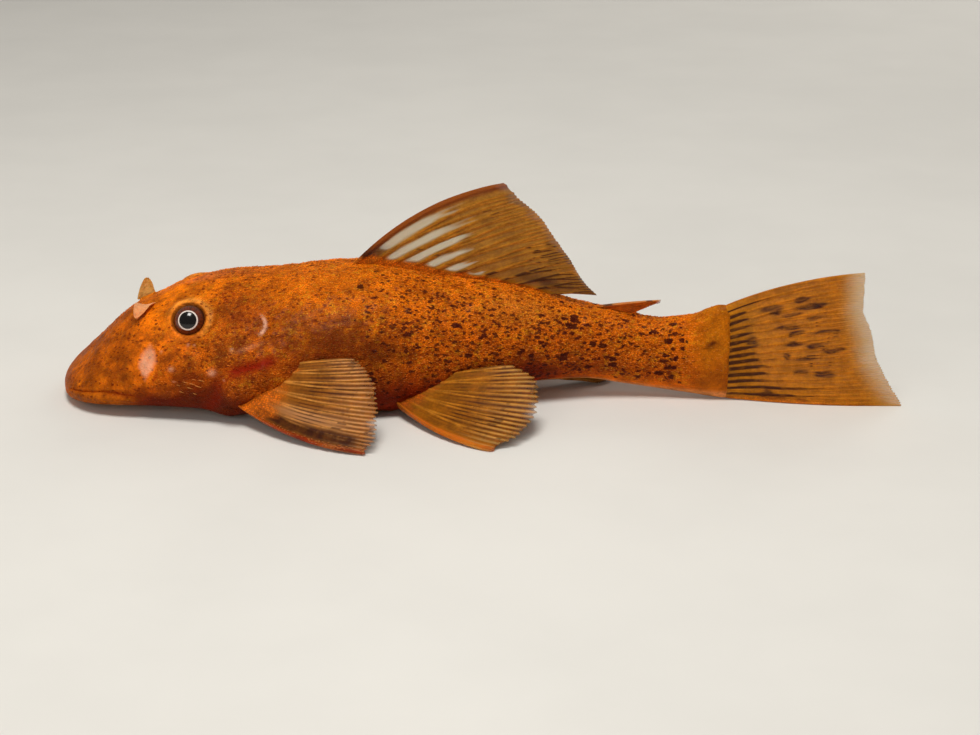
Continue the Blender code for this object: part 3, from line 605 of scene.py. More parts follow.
@dataclass(frozen=True)
class FinFinish:
    """Amber fin: translucent web, ridged rays with dark dashes, clear windows and an opaque fleshy root."""

    name: str
    web: Colour = (0.42, 0.17, 0.03)
    ray: Colour = (0.4, 0.13, 0.012)
    streak: Colour = (0.1, 0.03, 0.006)
    dark: Colour = (0.035, 0.007, 0.003)
    window: Colour = (0.62, 0.52, 0.3)
    flesh: Colour = (0.62, 0.15, 0.006)
    edge: Colour = (0.55, 0.2, 0.05)
    web_alpha: float = 0.8
    window_alpha: float = 0.5
    streaked: float = 0.5
    dash_length: float = 1.3
    roughness: float = 0.45
    specular: float = 0.1

    def make(self, effects: SharedEffects) -> bpy.types.Material:
        """Builds the material.

        Args:
            effects: The shared node groups.

        Returns:
            A material that reads the fin's ray_map and its masks: ray, window, dashed, barred, smoky, flesh,
            edge and fray.
        """
        material, maker, shader = new_material(self.name)
        across, reach, face = maker.parts(maker.attribute("ray_map", "Vector"))
        ray, flesh, window = (maker.attribute(name) for name in ("ray", "flesh", "window"))
        streak = self.streaks(maker, across, reach, face)
        colour = maker.mix(ray, self.web, self.ray)
        mottle = maker.effect(effects.mottle, Vector=maker.place(), Colour=colour, Scale=700.0, Amount=0.5)
        colour = maker.mix(maker.span(streak, 0.46, 0.7, 0.0, self.streaked), mottle.outputs["Colour"], self.streak)
        colour = maker.mix(maker.attribute("edge"), colour, self.edge)
        colour = maker.mix(window, colour, self.window)
        colour = self.dashes(maker, across, reach, ray, colour)
        fleshy = maker.effect(effects.mottle, Vector=maker.place(), Colour=self.flesh, Scale=900.0, Amount=0.8)
        grains = maker.effect(effects.granules, Vector=maker.place(), Scale=4600.0)
        rough = maker.mix(maker.span(grains.outputs["Height"], 0.0, 0.6, 0.5, 0.0), fleshy.outputs["Colour"], self.streak)
        colour = maker.mix(flesh, colour, rough)
        grain = maker.math("MULTIPLY", grains.outputs["Height"], maker.span(ray, 0.0, 1.0, 0.2, 0.7))
        segments = maker.math("SINE", maker.math("MULTIPLY", reach, 17.0))
        joints = maker.math("MULTIPLY", maker.math("MULTIPLY", segments, ray), 0.15)
        height = maker.math("ADD", maker.math("ADD", grain, joints), streak)
        maker.feed(shader.inputs["Alpha"], self.alpha(maker, ray, flesh, window))
        maker.feed(shader.inputs["Base Color"], colour)
        maker.feed(shader.inputs["Normal"], maker.bump(height, 0.00005))
        shader.inputs["Roughness"].default_value = self.roughness
        shader.inputs["Specular IOR Level"].default_value = self.specular
        shader.inputs["Subsurface Weight"].default_value = 0.25
        shader.inputs["Subsurface Radius"].default_value = (1.0, 0.45, 0.15)
        shader.inputs["Subsurface Scale"].default_value = 0.0008
        return material

    def streaks(self, maker: NodeMaker, across: object, reach: object, face: object) -> object:
        """Noise drawn out along the rays.

        Args:
            maker: Adds the nodes.
            across: Ray coordinate.
            reach: Distance from the root in millimetres.
            face: Which face of the fin.

        Returns:
            A value from 0 to 1.
        """
        drawn = maker.node(
            "ShaderNodeCombineXYZ",
            {0: maker.math("MULTIPLY", across, 8.0), 1: maker.math("MULTIPLY", reach, 0.35), 2: face},
        )
        return maker.noise(drawn.outputs[0], 1.0, 4.0, 0.62)

    def dashes(self, maker: NodeMaker, across: object, reach: object, ray: object, colour: object) -> object:
        """Adds dark dashes on the rays, smoky patches and the solid bars.

        Args:
            maker: Adds the nodes.
            across: Ray coordinate.
            reach: Distance from the root in millimetres.
            ray: Mask of the rays.
            colour: The colour so far.

        Returns:
            The new colour.
        """
        branch = maker.math("ROUND", maker.math("MULTIPLY", across, 2.0))
        at = maker.node(
            "ShaderNodeCombineXYZ",
            {0: maker.math("MULTIPLY", branch, 3.71), 1: maker.math("DIVIDE", reach, self.dash_length), 2: 0.5},
        )
        lot = maker.math(
            "ADD", maker.noise(at.outputs[0], 1.0, 2.0, 0.5), maker.math("MULTIPLY", maker.attribute("dashed"), 0.4)
        )
        dashes = maker.math("MULTIPLY", maker.span(lot, 0.66, 0.78), maker.span(ray, 0.1, 0.6))
        dashes = maker.math("MULTIPLY", dashes, maker.span(maker.attribute("dashed"), 0.05, 0.3))
        colour = maker.mix(maker.math("MULTIPLY", dashes, 0.85), colour, self.dark)
        smoke = maker.noise(maker.place(), 900.0, 4.0, 0.6)
        smoky = maker.math("MULTIPLY", maker.attribute("smoky"), maker.span(smoke, 0.32, 0.6, 0.72, 1.0))
        colour = maker.mix(smoky, colour, self.dark)
        return maker.mix(maker.math("MULTIPLY", maker.attribute("barred"), 0.95), colour, self.dark)

    def alpha(self, maker: NodeMaker, ray: object, flesh: object, window: object) -> object:
        """Opaque on rays, flesh and bars, clearer in the web and the windows, and frayed at the margin.

        Args:
            maker: Adds the nodes.
            ray: Mask of the rays.
            flesh: Mask of the fleshy root.
            window: Mask of the windows.

        Returns:
            The alpha value.
        """
        solid = maker.math("MAXIMUM", flesh, maker.attribute("barred"))
        thin = maker.math("SUBTRACT", 1.0, maker.math("MAXIMUM", maker.math("MULTIPLY", ray, 0.85), solid))
        clear = maker.span(window, 0.0, 1.0, 1.0 - self.web_alpha, 1.0 - self.window_alpha)
        lost = maker.math("MAXIMUM", maker.math("MULTIPLY", clear, thin), maker.attribute("fray"))
        return maker.math("SUBTRACT", 1.0, lost, clamp=True)


@dataclass(frozen=True)
class EyeFinish:
    """Black pupil in a thin silver ring, with a dark brown iris that has fine spokes."""

    name: str = "pleco_eye"
    pupil: Colour = (0.004, 0.003, 0.003)
    ring: Colour = (0.8, 0.7, 0.64)
    iris: Colour = (0.16, 0.025, 0.006)
    rim: Colour = (0.045, 0.012, 0.006)
    pupil_reach: float = 0.45
    ring_reach: float = 0.51
    iris_reach: float = 0.95

    def make(self) -> bpy.types.Material:
        """Builds a material that reads the eyeball's eye_map: share of the front, and turn round the axis."""
        material, maker, shader = new_material(self.name)
        share, turn, _ = maker.parts(maker.attribute("eye_map", "Vector"))
        spokes = maker.node("ShaderNodeCombineXYZ", {0: maker.math("MULTIPLY", turn, 14.0),
                                                     1: maker.math("MULTIPLY", share, 2.0)})
        spoke = maker.noise(spokes.outputs[0], 1.0, 3.0)
        iris = maker.mix(maker.span(spoke, 0.35, 0.7), self.iris, self.rim)
        iris = maker.mix(maker.span(share, 0.8, self.iris_reach), iris, self.rim)
        ragged = maker.math("ADD", share, maker.span(spoke, 0.2, 0.8, -0.012, 0.012))
        ring = maker.mix(maker.span(ragged, self.ring_reach, self.ring_reach + 0.03), self.ring, iris)
        colour = maker.mix(maker.span(ragged, self.pupil_reach - 0.015, self.pupil_reach + 0.01), self.pupil, ring)
        maker.feed(shader.inputs["Base Color"], colour)
        shader.inputs["Roughness"].default_value = 0.2
        shader.inputs["Specular IOR Level"].default_value = 0.2
        shader.inputs["Coat Weight"].default_value = 0.6
        shader.inputs["Coat Roughness"].default_value = 0.03
        return material


@dataclass(frozen=True)
class SoftFinish:
    """Bare soft skin of the lips and nasal flaps: pale, damp and finely mottled."""

    name: str
    colour: Colour
    blush: Colour
    grain_scale: float = 3000.0
    roughness: float = 0.42

    def make(self, effects: SharedEffects) -> bpy.types.Material:
        """Builds a material whose blush follows the piece's own blush attribute."""
        material, maker, shader = new_material(self.name)
        place = maker.place()
        base = maker.mix(maker.attribute("blush"), self.colour, self.blush)
        mottle = maker.effect(effects.mottle, Vector=place, Colour=base, Scale=900.0, Amount=0.45)
        grains = maker.effect(effects.granules, Vector=place, Scale=self.grain_scale)
        maker.feed(shader.inputs["Base Color"], mottle.outputs["Colour"])
        maker.feed(shader.inputs["Normal"], maker.bump(grains.outputs["Height"], 0.00004))
        shader.inputs["Roughness"].default_value = self.roughness
        shader.inputs["Specular IOR Level"].default_value = 0.2
        shader.inputs["Subsurface Weight"].default_value = 0.2
        shader.inputs["Subsurface Radius"].default_value = (1.0, 0.4, 0.2)
        shader.inputs["Subsurface Scale"].default_value = 0.0008
        return material


@dataclass(frozen=True)
class PrickleFinish:
    """Odontodes: glassy amber points, paler to their tips."""

    name: str = "odontode_amber"
    tip: Colour = (0.95, 0.44, 0.09)
    roughness: float = 0.32
    specular: float = 0.16

    def make(self, effects: SharedEffects, under: SkinFinish) -> bpy.types.Material:
        """Builds a material that pales to the tip and carries the markings of the skin under it.

        Args:
            effects: The shared node groups.
            under: The skin's finish.

        Returns:
            A material that reads to_tip, pale and the skin's own tint and masks.
        """
        material, maker, shader = new_material(self.name)
        place = maker.place()
        mottle = maker.effect(
            effects.mottle, Vector=place, Colour=maker.attribute("tint", "Color"), Scale=560.0, Amount=0.65
        )
        pale = maker.math("MULTIPLY", maker.attribute("to_tip"), maker.attribute("pale"))
        colour = maker.mix(pale, under.murky(maker, place, mottle.outputs["Colour"]), self.tip)
        maker.feed(shader.inputs["Base Color"], under.marked(maker, effects, place, colour))
        shader.inputs["Roughness"].default_value = self.roughness
        shader.inputs["Specular IOR Level"].default_value = self.specular
        return material


@dataclass(frozen=True)
class FloorFinish:
    """Pale matt studio floor with a faint unevenness."""

    name: str = "studio_floor"
    colour: Colour = (0.74, 0.73, 0.7)

    def make(self, effects: SharedEffects) -> bpy.types.Material:
        """Builds the floor's material."""
        material, maker, shader = new_material(self.name)
        mottle = maker.effect(effects.mottle, Vector=maker.place(), Colour=self.colour, Scale=12.0, Amount=0.05)
        maker.feed(shader.inputs["Base Color"], mottle.outputs["Colour"])
        shader.inputs["Roughness"].default_value = 0.75
        return material


@dataclass
class BodyShape:
    """The trunk without its relief: superellipse sections read along the length, bent at the tail.

    Each row of sections is, in millimetres: distance behind the snout, half width, crown, underside, height
    of the widest point and fullness of the upper half. The last two rows close the stalk in the tail fin's base.
    """

    snout_x: float = -33.0 * MM
    torso_end_x: float = 24.0 * MM
    tail_base_x: float = 42.2 * MM
    bend_start_x: float = 24.0 * MM
    bend_length: float = 34.0 * MM
    bend_depth: float = 5.8 * MM
    belly_fullness: float = 3.4
    tail_fullness: float = 2.3
    belly_end_x: float = 8.0 * MM
    belly_fade: float = 16.0 * MM
    sections: tuple[tuple[float, ...], ...] = (
        (0.0, 0.0, 1.3, 1.3, 1.3, 1.9),
        (0.2, 2.2, 2.25, 0.65, 1.45, 1.95),
        (1.0, 4.9, 3.3, 0.5, 1.6, 1.95),
        (2.0, 6.5, 4.25, 0.4, 1.8, 1.85),
        (3.3, 7.8, 5.5, 0.4, 2.1, 1.8),
        (5.5, 9.0, 7.7, 0.4, 2.7, 1.7),
        (7.5, 9.6, 9.5, 0.4, 3.2, 1.65),
        (9.4, 10.0, 10.9, 0.4, 3.6, 1.6),
        (11.8, 10.5, 12.1, 0.4, 4.0, 1.6),
        (14.0, 10.9, 12.9, 0.35, 4.3, 1.6),
        (19.0, 11.7, 13.7, 0.1, 4.7, 1.7),
        (24.0, 12.0, 14.1, -0.3, 5.0, 1.85),
        (33.0, 11.2, 14.9, -0.35, 5.2, 2.0),
        (36.7, 10.4, 14.8, -0.35, 5.3, 2.0),
        (44.0, 8.6, 13.6, -0.2, 5.4, 2.0),
        (51.5, 6.4, 12.5, 1.2, 5.7, 2.0),
        (55.0, 5.5, 11.5, 1.7, 5.7, 2.05),
        (59.5, 4.3, 10.2, 1.7, 5.7, 2.1),
        (63.5, 3.5, 9.5, 1.2, 5.4, 2.2),
        (68.0, 2.6, 8.9, 0.7, 4.9, 2.2),
        (71.5, 2.1, 9.6, 0.4, 4.9, 2.2),
        (75.2, 1.4, 11.1, 0.1, 5.4, 2.2),
        (75.7, 1.1, 11.1, 0.1, 5.4, 2.2),
        (76.1, 0.25, 10.9, 0.3, 5.4, 2.2),
    )

    def bend(self, x: Array) -> Array:
        """How far the midline has swung to the fish's left: bend_depth times a smooth step."""
        return self.bend_depth * smooth_step(x, self.bend_start_x, self.bend_start_x + self.bend_length)

    def section(self, x: Array) -> tuple[Array, ...]:
        """Sizes of the section at x, read against the square root of the distance from the snout.

        Args:
            x: Places along the body.

        Returns:
            Half width, crown, underside, height of the widest point, upper fullness and lower fullness.
        """
        table = np.array(self.sections)
        distance = np.clip((np.asarray(x, float) - self.snout_x) / MM, 0, table[-1, 0])
        sizes = smooth_curve(np.sqrt(distance), np.sqrt(table[:, 0]), table[:, 1:])
        half_width, top, bottom, middle = (sizes[..., column] * MM for column in range(4))
        fade = smooth_step(x, self.belly_end_x, self.belly_end_x + self.belly_fade)
        lower = self.belly_fullness + (self.tail_fullness - self.belly_fullness) * fade
        return half_width, top, bottom, middle, sizes[..., 4], lower

    def point(self, x: Array, angle: Array, raised: Array | float = 0.0) -> Array:
        """Points of the surface: y = w·cos^(2/n), z = h·sin^(2/n), pushed out along the ellipse's normal.

        Args:
            x: Places along the body.
            angle: Angle of the section in radians, 0 on the fish's right and a quarter turn at the crown.
            raised: Distance outside the plain surface.

        Returns:
            Points with their coordinates on the last axis.
        """
        half_width, top, bottom, middle, upper, lower = self.section(x)
        cosine, sine = np.cos(angle), np.sin(angle)
        power = 2.0 / np.where(sine >= 0, upper, lower)
        height = np.where(sine >= 0, top - middle, middle - bottom)
        side = half_width * np.sign(cosine) * np.abs(cosine) ** power
        rise = height * np.sign(sine) * np.abs(sine) ** power
        lean = unit(np.stack([cosine * height, sine * half_width], axis=-1))
        y = side + lean[..., 0] * raised - self.bend(x)
        z = middle + rise + lean[..., 1] * raised
        return np.stack([np.broadcast_to(x, y.shape), y, z], axis=-1)

    def on_skin(self, x_mm: float, degrees: float, side: Side) -> Vector:
        """The plain surface's point at a place on one side, in millimetres along X and degrees."""
        angle = math.radians(180.0 - degrees if side is Side.LEFT else degrees)
        return Vector(self.point(np.array(x_mm * MM), np.array(angle)))


@dataclass
class HeadRear:
    """Where the head ends: the gill opening low on the side and the skull's point on the back."""

    gill_x: float = -13.9 * MM
    slant: float = 3.1 * MM
    skull_reach: float = 5.8 * MM
    skull_power: float = 2.6

    def x(self, sine: Array) -> Array:
        """gill_x + slant·sin + skull_reach·max(sin, 0)^skull_power for the sine of the section's angle."""
        return self.gill_x + self.slant * sine + self.skull_reach * np.maximum(sine, 0) ** self.skull_power


@dataclass
class EyePlace:
    """Where an eye sits, which way its socket opens and which way it looks."""

    side: Side
    x_mm: float = -17.7
    degrees: float = 49.0
    radius: float = 1.9 * MM
    sink: float = 0.85 * MM
    lift: float = 38.0
    forward: float = 8.0
    gaze_lift: float = 25.0
    gaze_forward: float = 3.0

    def direction(self, lift: float, forward: float) -> Vector:
        """A direction away from the head, lifted and turned forward by degrees."""
        up, ahead = math.radians(lift), math.radians(forward)
        level = math.cos(up)
        return Vector((-level * math.sin(ahead), -self.side.value * level * math.cos(ahead), math.sin(up)))

    def axis(self) -> Vector:
        """The socket's axis."""
        return self.direction(self.lift, self.forward)

    def gaze(self) -> Vector:
        """The axis of the pupil."""
        return self.direction(self.gaze_lift, self.gaze_forward)

    def centre(self, body: BodyShape) -> Vector:
        """The eyeball's centre, sunk behind the skin along the socket's axis."""
        return body.on_skin(self.x_mm, self.degrees, self.side) - self.axis() * self.sink


@dataclass
class Plating:
    """The rows of bony plates along each flank, and the height of their relief."""

    row_edges: tuple[float, ...] = (81.0, 61.0, 38.0, 12.0, -18.0, -46.0)
    torso_plates: int = 15
    tail_plates: int = 9
    rise: float = 0.1 * MM
    bulge: float = 0.42
    drop: float = 0.14
    front: float = 0.25

    def relief(self, x: Array, degrees: Array, start: Array, body: BodyShape) -> tuple[Array, Array]:
        """Height of the plates and a mask of their rear edges.

        A plate rises from front to full along its length, drops over the last share of it, and its rear
        edge bows backwards in the middle of its row. Odd rows are set off by half a plate.

        Args:
            x: Places along the body.
            degrees: Angle of the section, 90 at the crown and -90 at the belly.
            start: Where the plates begin at each place.
            body: The trunk.

        Returns:
            The height in metres, and the mask from 0 to 1.
        """
        edges = np.array(self.row_edges)
        row = np.clip(np.sum(degrees[..., None] < edges, axis=-1) - 1, 0, len(edges) - 2)
        share = (edges[row] - degrees) / (edges[row] - edges[row + 1])
        inside = smooth_step(share, 0.0, 0.13) * smooth_step(1.0 - share, 0.0, 0.13)
        torso = (x - start) / (body.torso_end_x - start) * self.torso_plates
        tail = (x - body.torso_end_x) / (body.tail_base_x - body.torso_end_x) * self.tail_plates
        along = np.where(x < body.torso_end_x, torso, self.torso_plates + tail)
        middle = np.clip(1.0 - (2.0 * share - 1.0) ** 2, 0, 1)
        phase = np.mod(along - self.bulge * middle + 0.5 * (row % 2), 1.0)
        rising = self.front + (1.0 - self.front) * phase / (1.0 - self.drop)
        falling = self.front + (1.0 - self.front) * (1.0 - phase) / self.drop
        profile = np.minimum(rising, falling)
        present = smooth_step(along, 0.0, 0.7) * (1.0 - smooth_step(x, body.tail_base_x - 2.5 * MM, body.tail_base_x))
        edge = hump(phase, 1.0, 0.08) + 0.8 * hump(share, 0.0, 0.05) + 0.8 * hump(share, 1.0, 0.05)
        in_rows = (degrees < edges[0]) & (degrees > edges[-1])
        return self.rise * inside * profile * present * in_rows, np.clip(edge, 0, 1) * present * in_rows


@dataclass
class Skin:
    """One skin from the snout to the base of the tail fin, with plates, orbits, nostrils and folds."""

    body: BodyShape
    eyes: tuple[EyePlace, EyePlace]
    rear: HeadRear = field(default_factory=HeadRear)
    plating: Plating = field(default_factory=Plating)
    stations: int = 440
    columns: int = 218
    first_x: float = 0.03 * MM
    nostril_x: float = -23.4 * MM
    nostril_degrees: float = 72.0
    nostril_radius: float = 0.75 * MM
    crown_side_drop: float = 0.17 * MM
    crown_tint: Colour = (1.0, 0.225, 0.002)
    flank_tint: Colour = (0.8, 0.162, 0.002)
    # painted shade: the lower flank, which the overhead light leaves in shadow, darkened to a deep red-brown
    lower_flank_shade_tint: Colour = (0.24, 0.014, 0.001)
    belly_tint: Colour = (0.62, 0.22, 0.06)
    snout_tint: Colour = (0.55, 0.112, 0.002)
    muzzle_tint: Colour = (0.66, 0.145, 0.003)
    lip_tint: Colour = (0.5, 0.115, 0.003)
    cheek_tint: Colour = (0.9, 0.185, 0.004)
    cover_tint: Colour = (1.0, 0.23, 0.008)
    # painted shade: near-black red for the shadow under the head and in front of the pectoral fin's root
    throat_shade_tint: Colour = (0.14, 0.009, 0.001)
    # painted shade: dark maroon for the shadow above the pectoral fin's base and under the cheek
    crease_shade_tint: Colour = (0.2, 0.02, 0.002)
    temple_tint: Colour = (0.36, 0.06, 0.002)
    shade_tint: Colour = (0.13, 0.036, 0.001)
    muscle_tint: Colour = (0.72, 0.15, 0.006)
    dash_tint: Colour = (0.06, 0.006, 0.002)
    stalk_tint: Colour = (0.9, 0.195, 0.002)
    tail_tint: Colour = (0.53, 0.145, 0.002)
    pale_tint: Colour = (0.85, 0.25, 0.015)
    # paler orange of the orbit's rim: a faint even tone all round, and a painted highlight on the rim's top and rear
    rim_tone_and_highlight_tint: Colour = (0.95, 0.36, 0.05)
    # painted shade: dark brown for the shadow in the eye's socket round the eyeball
    socket_shade_tint: Colour = (0.15, 0.04, 0.004)
    crest_tint: Colour = (0.55, 0.12, 0.05)

    def grid(self) -> tuple[Array, Array]:
        """Stations along X, closest on the head, and angles round the section, closest above the belly."""
        end = self.body.snout_x + self.body.sections[-1][0] * MM
        start = self.body.snout_x + self.first_x
        places = np.array([start, -31.0 * MM, -28.0 * MM, -10.0 * MM, -6.0 * MM, end])
        x = crowded_steps(start, end, self.stations, np.array([5.0, 2.2, 1.9, 1.9, 1.0, 1.0]), places)
        turn = np.radians([-90.0, -60.0, -30.0, 0.0, 90.0, 180.0, 210.0, 240.0, 270.0])
        dense = np.array([0.5, 0.6, 1.0, 1.3, 1.3, 1.3, 1.0, 0.6, 0.5])
        angle = crowded_steps(turn[0], turn[-1], self.columns + 1, dense, turn)[:-1]
        return np.meshgrid(x, angle, indexing="ij")

    def head_relief(self, x: Array, degrees: Array, points: Array) -> Array:
        """Heights of the head's plates and grooves, as sums of humps.

        Args:
            x: Places along the body.
            degrees: Angle of the section.
            points: The plain surface, for the unevenness.

        Returns:
            Height in metres.
        """
        at = x / MM
        rear = self.rear.x(np.sin(np.radians(degrees))) / MM
        cheek = 0.25 * hump(at, -18.6, 2.6) * hump(degrees, 14.0, 16.0)
        cover = 0.3 * hump(at, -12.2, 2.4) * hump(degrees, 26.0, 14.0)
        between = -0.2 * hump(at + 0.03 * degrees, -15.4, 0.5) * hump(degrees, 12.0, 20.0)
        seam = -0.12 * hump(at, rear, 0.3) * smooth_step(degrees, -40.0, -20.0) * (1.0 - smooth_step(degrees, 60.0, 75.0))
        slit = -0.42 * hump(degrees - self.slit_line(at), 0.0, 3.2) * hump(at, -10.4, 2.3)
        pad = -0.3 * hump(degrees - self.pad_line(at), 0.0, 2.6) * self.pad_span(at)
        lip = 0.2 * hump(degrees - self.pad_line(at) + 8.0, 0.0, 5.0) * self.pad_span(at)
        canthus = 0.25 * hump(degrees - 55.0 + 1.0 * (at + 21.0), 0.0, 6.0) * hump(at, -21.2, 2.4)
        brow = -0.14 * hump(degrees, 90.0, 13.0) * hump(at, -18.0, 4.0)
        temple = 0.15 * hump(at, -12.0, 2.6) * hump(degrees, 47.0, 12.0)
        crown = (0.4 * hump(at, -13.5, 4.0) - 0.3 * hump(at, -22.3, 1.9)) * hump(degrees, 90.0, 28.0)
        notch = -0.2 * hump(at + 0.012 * (degrees - 41.0) ** 2, -8.6, 0.35) * hump(degrees, 41.0, 8.0)
        coarse = lattice_noise(points, 2.4 * MM, 3) - 0.5
        medium = lattice_noise(points, 1.0 * MM, 4) - 0.5
        fine = lattice_noise(points, 0.45 * MM, 6) - 0.5
        lumps = (0.18 * coarse + 0.16 * medium + 0.08 * fine) * smooth_step(degrees, -40.0, -10.0)
        on_head = 1.0 - smooth_step(at, rear - 0.5, rear + 1.5)
        forms = cheek + cover + between + pad + lip + canthus + brow + temple + crown
        return MM * (forms * on_head + seam + slit + notch + lumps)

    @staticmethod
    def slit_line(at: Array) -> Array:
        """Angle of the gill slit at a place along X in millimetres: a line that rises to the rear."""
        return 11.2 + 1.15 * (at + 12.5)

    @staticmethod
    def pad_line(at: Array) -> Array:
        """Angle of the line between snout and lip at a place along X in millimetres."""
        return 9.5 - 2.3 * (at + 30.5)

    @staticmethod
    def pad_span(at: Array) -> Array:
        """Where along X the snout's lip line shows, in millimetres."""
        return smooth_step(at, -32.4, -31.0) * (1.0 - smooth_step(at, -25.5, -22.0))

    def shape_orbit(self, points: Array, eye: EyePlace) -> tuple[Array, Array]:
        """Moves points near an eye along its axis, onto a socket with a rolled rim.

        The rim's height over the eyeball's centre is a curve of the distance from the axis.

        Args:
            points: The skin's points.
            eye: The eye.

        Returns:
            The moved points, and each point's distance from the axis, far from the eye a large number.
        """
        centre, axis = np.array(eye.centre(self.body)), np.array(eye.axis())
        offset = points - centre
        along = offset @ axis
        radial = np.linalg.norm(offset - along[..., None] * axis, axis=-1)
        reach = np.array([0.0, 1.4, 1.62, 1.72, 1.85, 2.05, 2.3, 2.6, 3.0, 3.6]) * MM
        level = np.array([1.35, 0.85, 0.5, 0.62, 0.86, 1.0, 0.99, 0.83, 0.55, 0.3]) * MM
        target = smooth_curve(np.clip(radial, 0, reach[-1]), reach, level)
        upward = unit(np.array([0.0, 0.0, 1.0]) - axis[2] * axis)
        raised = np.clip((offset @ upward) / np.maximum(radial, 1e-6), 0.0, 1.0)
        target = target - self.crown_side_drop * raised * smooth_step(radial, 1.7 * MM, 2.2 * MM)
        near = (along > -1.6 * MM) & (radial < 3.6 * MM)
        weight = np.where(near, 1.0 - smooth_step(radial, 2.1 * MM, 3.5 * MM), 0.0)
        moved = points + ((target - along) * weight)[..., None] * axis
        return moved, np.where(near, radial, 1.0)

    def fin_bases(self, points: Array) -> Array:
        """Height of the muscle at the roots of the paired fins: a bell of the distance from each root line.

        Args:
            points: The plain surface.

        Returns:
            Height in metres.
        """
        height = np.zeros(points.shape[:-1])
        bases = (
            (FinPlans.pectoral_root, 0.9, 1.9),
            (FinPlans.pectoral_muscle, 1.0, 1.5),
            (FinPlans.pelvic_root, 0.55, 1.5),
        )
        for (ends, rise, reach), side in itertools.product(bases, Side):
            first, last = rows_mm(ends) * np.array([1.0, -side.value, 1.0])
            span = last - first
            share = np.clip((points - first) @ span / (span @ span), 0.0, 1.0)
            distance = np.linalg.norm(points - first - share[..., None] * span, axis=-1)
            height += rise * MM * hump(distance, 0.0, reach * MM)
        return height

    def shape_nostril(self, x: Array, degrees: Array, points: Array) -> Array:
        """Height of the nostrils: a rim of the nostril's radius round a pit.

        Args:
            x: Places along the body.
            degrees: Angle of the section.
            points: The plain surface.

        Returns:
            Height in metres.
        """
        height = np.zeros(x.shape)
        for side in Side:
            place = np.array(self.body.on_skin(self.nostril_x / MM, self.nostril_degrees, side))
            distance = np.linalg.norm(points - place, axis=-1)
            rim = 0.2 * hump(distance, self.nostril_radius, 0.3 * MM)
            pit = -0.5 * hump(distance, 0.0, 0.45 * MM)
            height += MM * (rim + pit)
        return height

    def build(self) -> "SkinSurface":
        """Works out the skin's points, masks and tint, without making a mesh.

        Returns:
            The skin as a grid of points with its masks.
        """
        x, angle = self.grid()
        degrees = np.degrees(np.arcsin(np.clip(np.sin(angle), -1, 1)))
        plain = self.body.point(x, angle)
        start = self.rear.x(np.sin(angle))
        plates, edge = self.plating.relief(x, degrees, start, self.body)
        height = plates + self.head_relief(x, degrees, plain) + self.shape_nostril(x, degrees, plain)
        height += self.fin_bases(plain)
        points = self.body.point(x, angle, height * smooth_step(x, self.body.snout_x, self.body.snout_x + 2 * MM))
        radial = np.full(x.shape, 1.0)
        for eye in self.eyes:
            points, near = self.shape_orbit(points, eye)
            radial = np.minimum(radial, near)
        points[..., 2] = np.maximum(points[..., 2], 0.0)
        surface = SkinSurface(points, x / MM, degrees, angle, edge)
        surface.paint(self, radial / MM)
        return surface


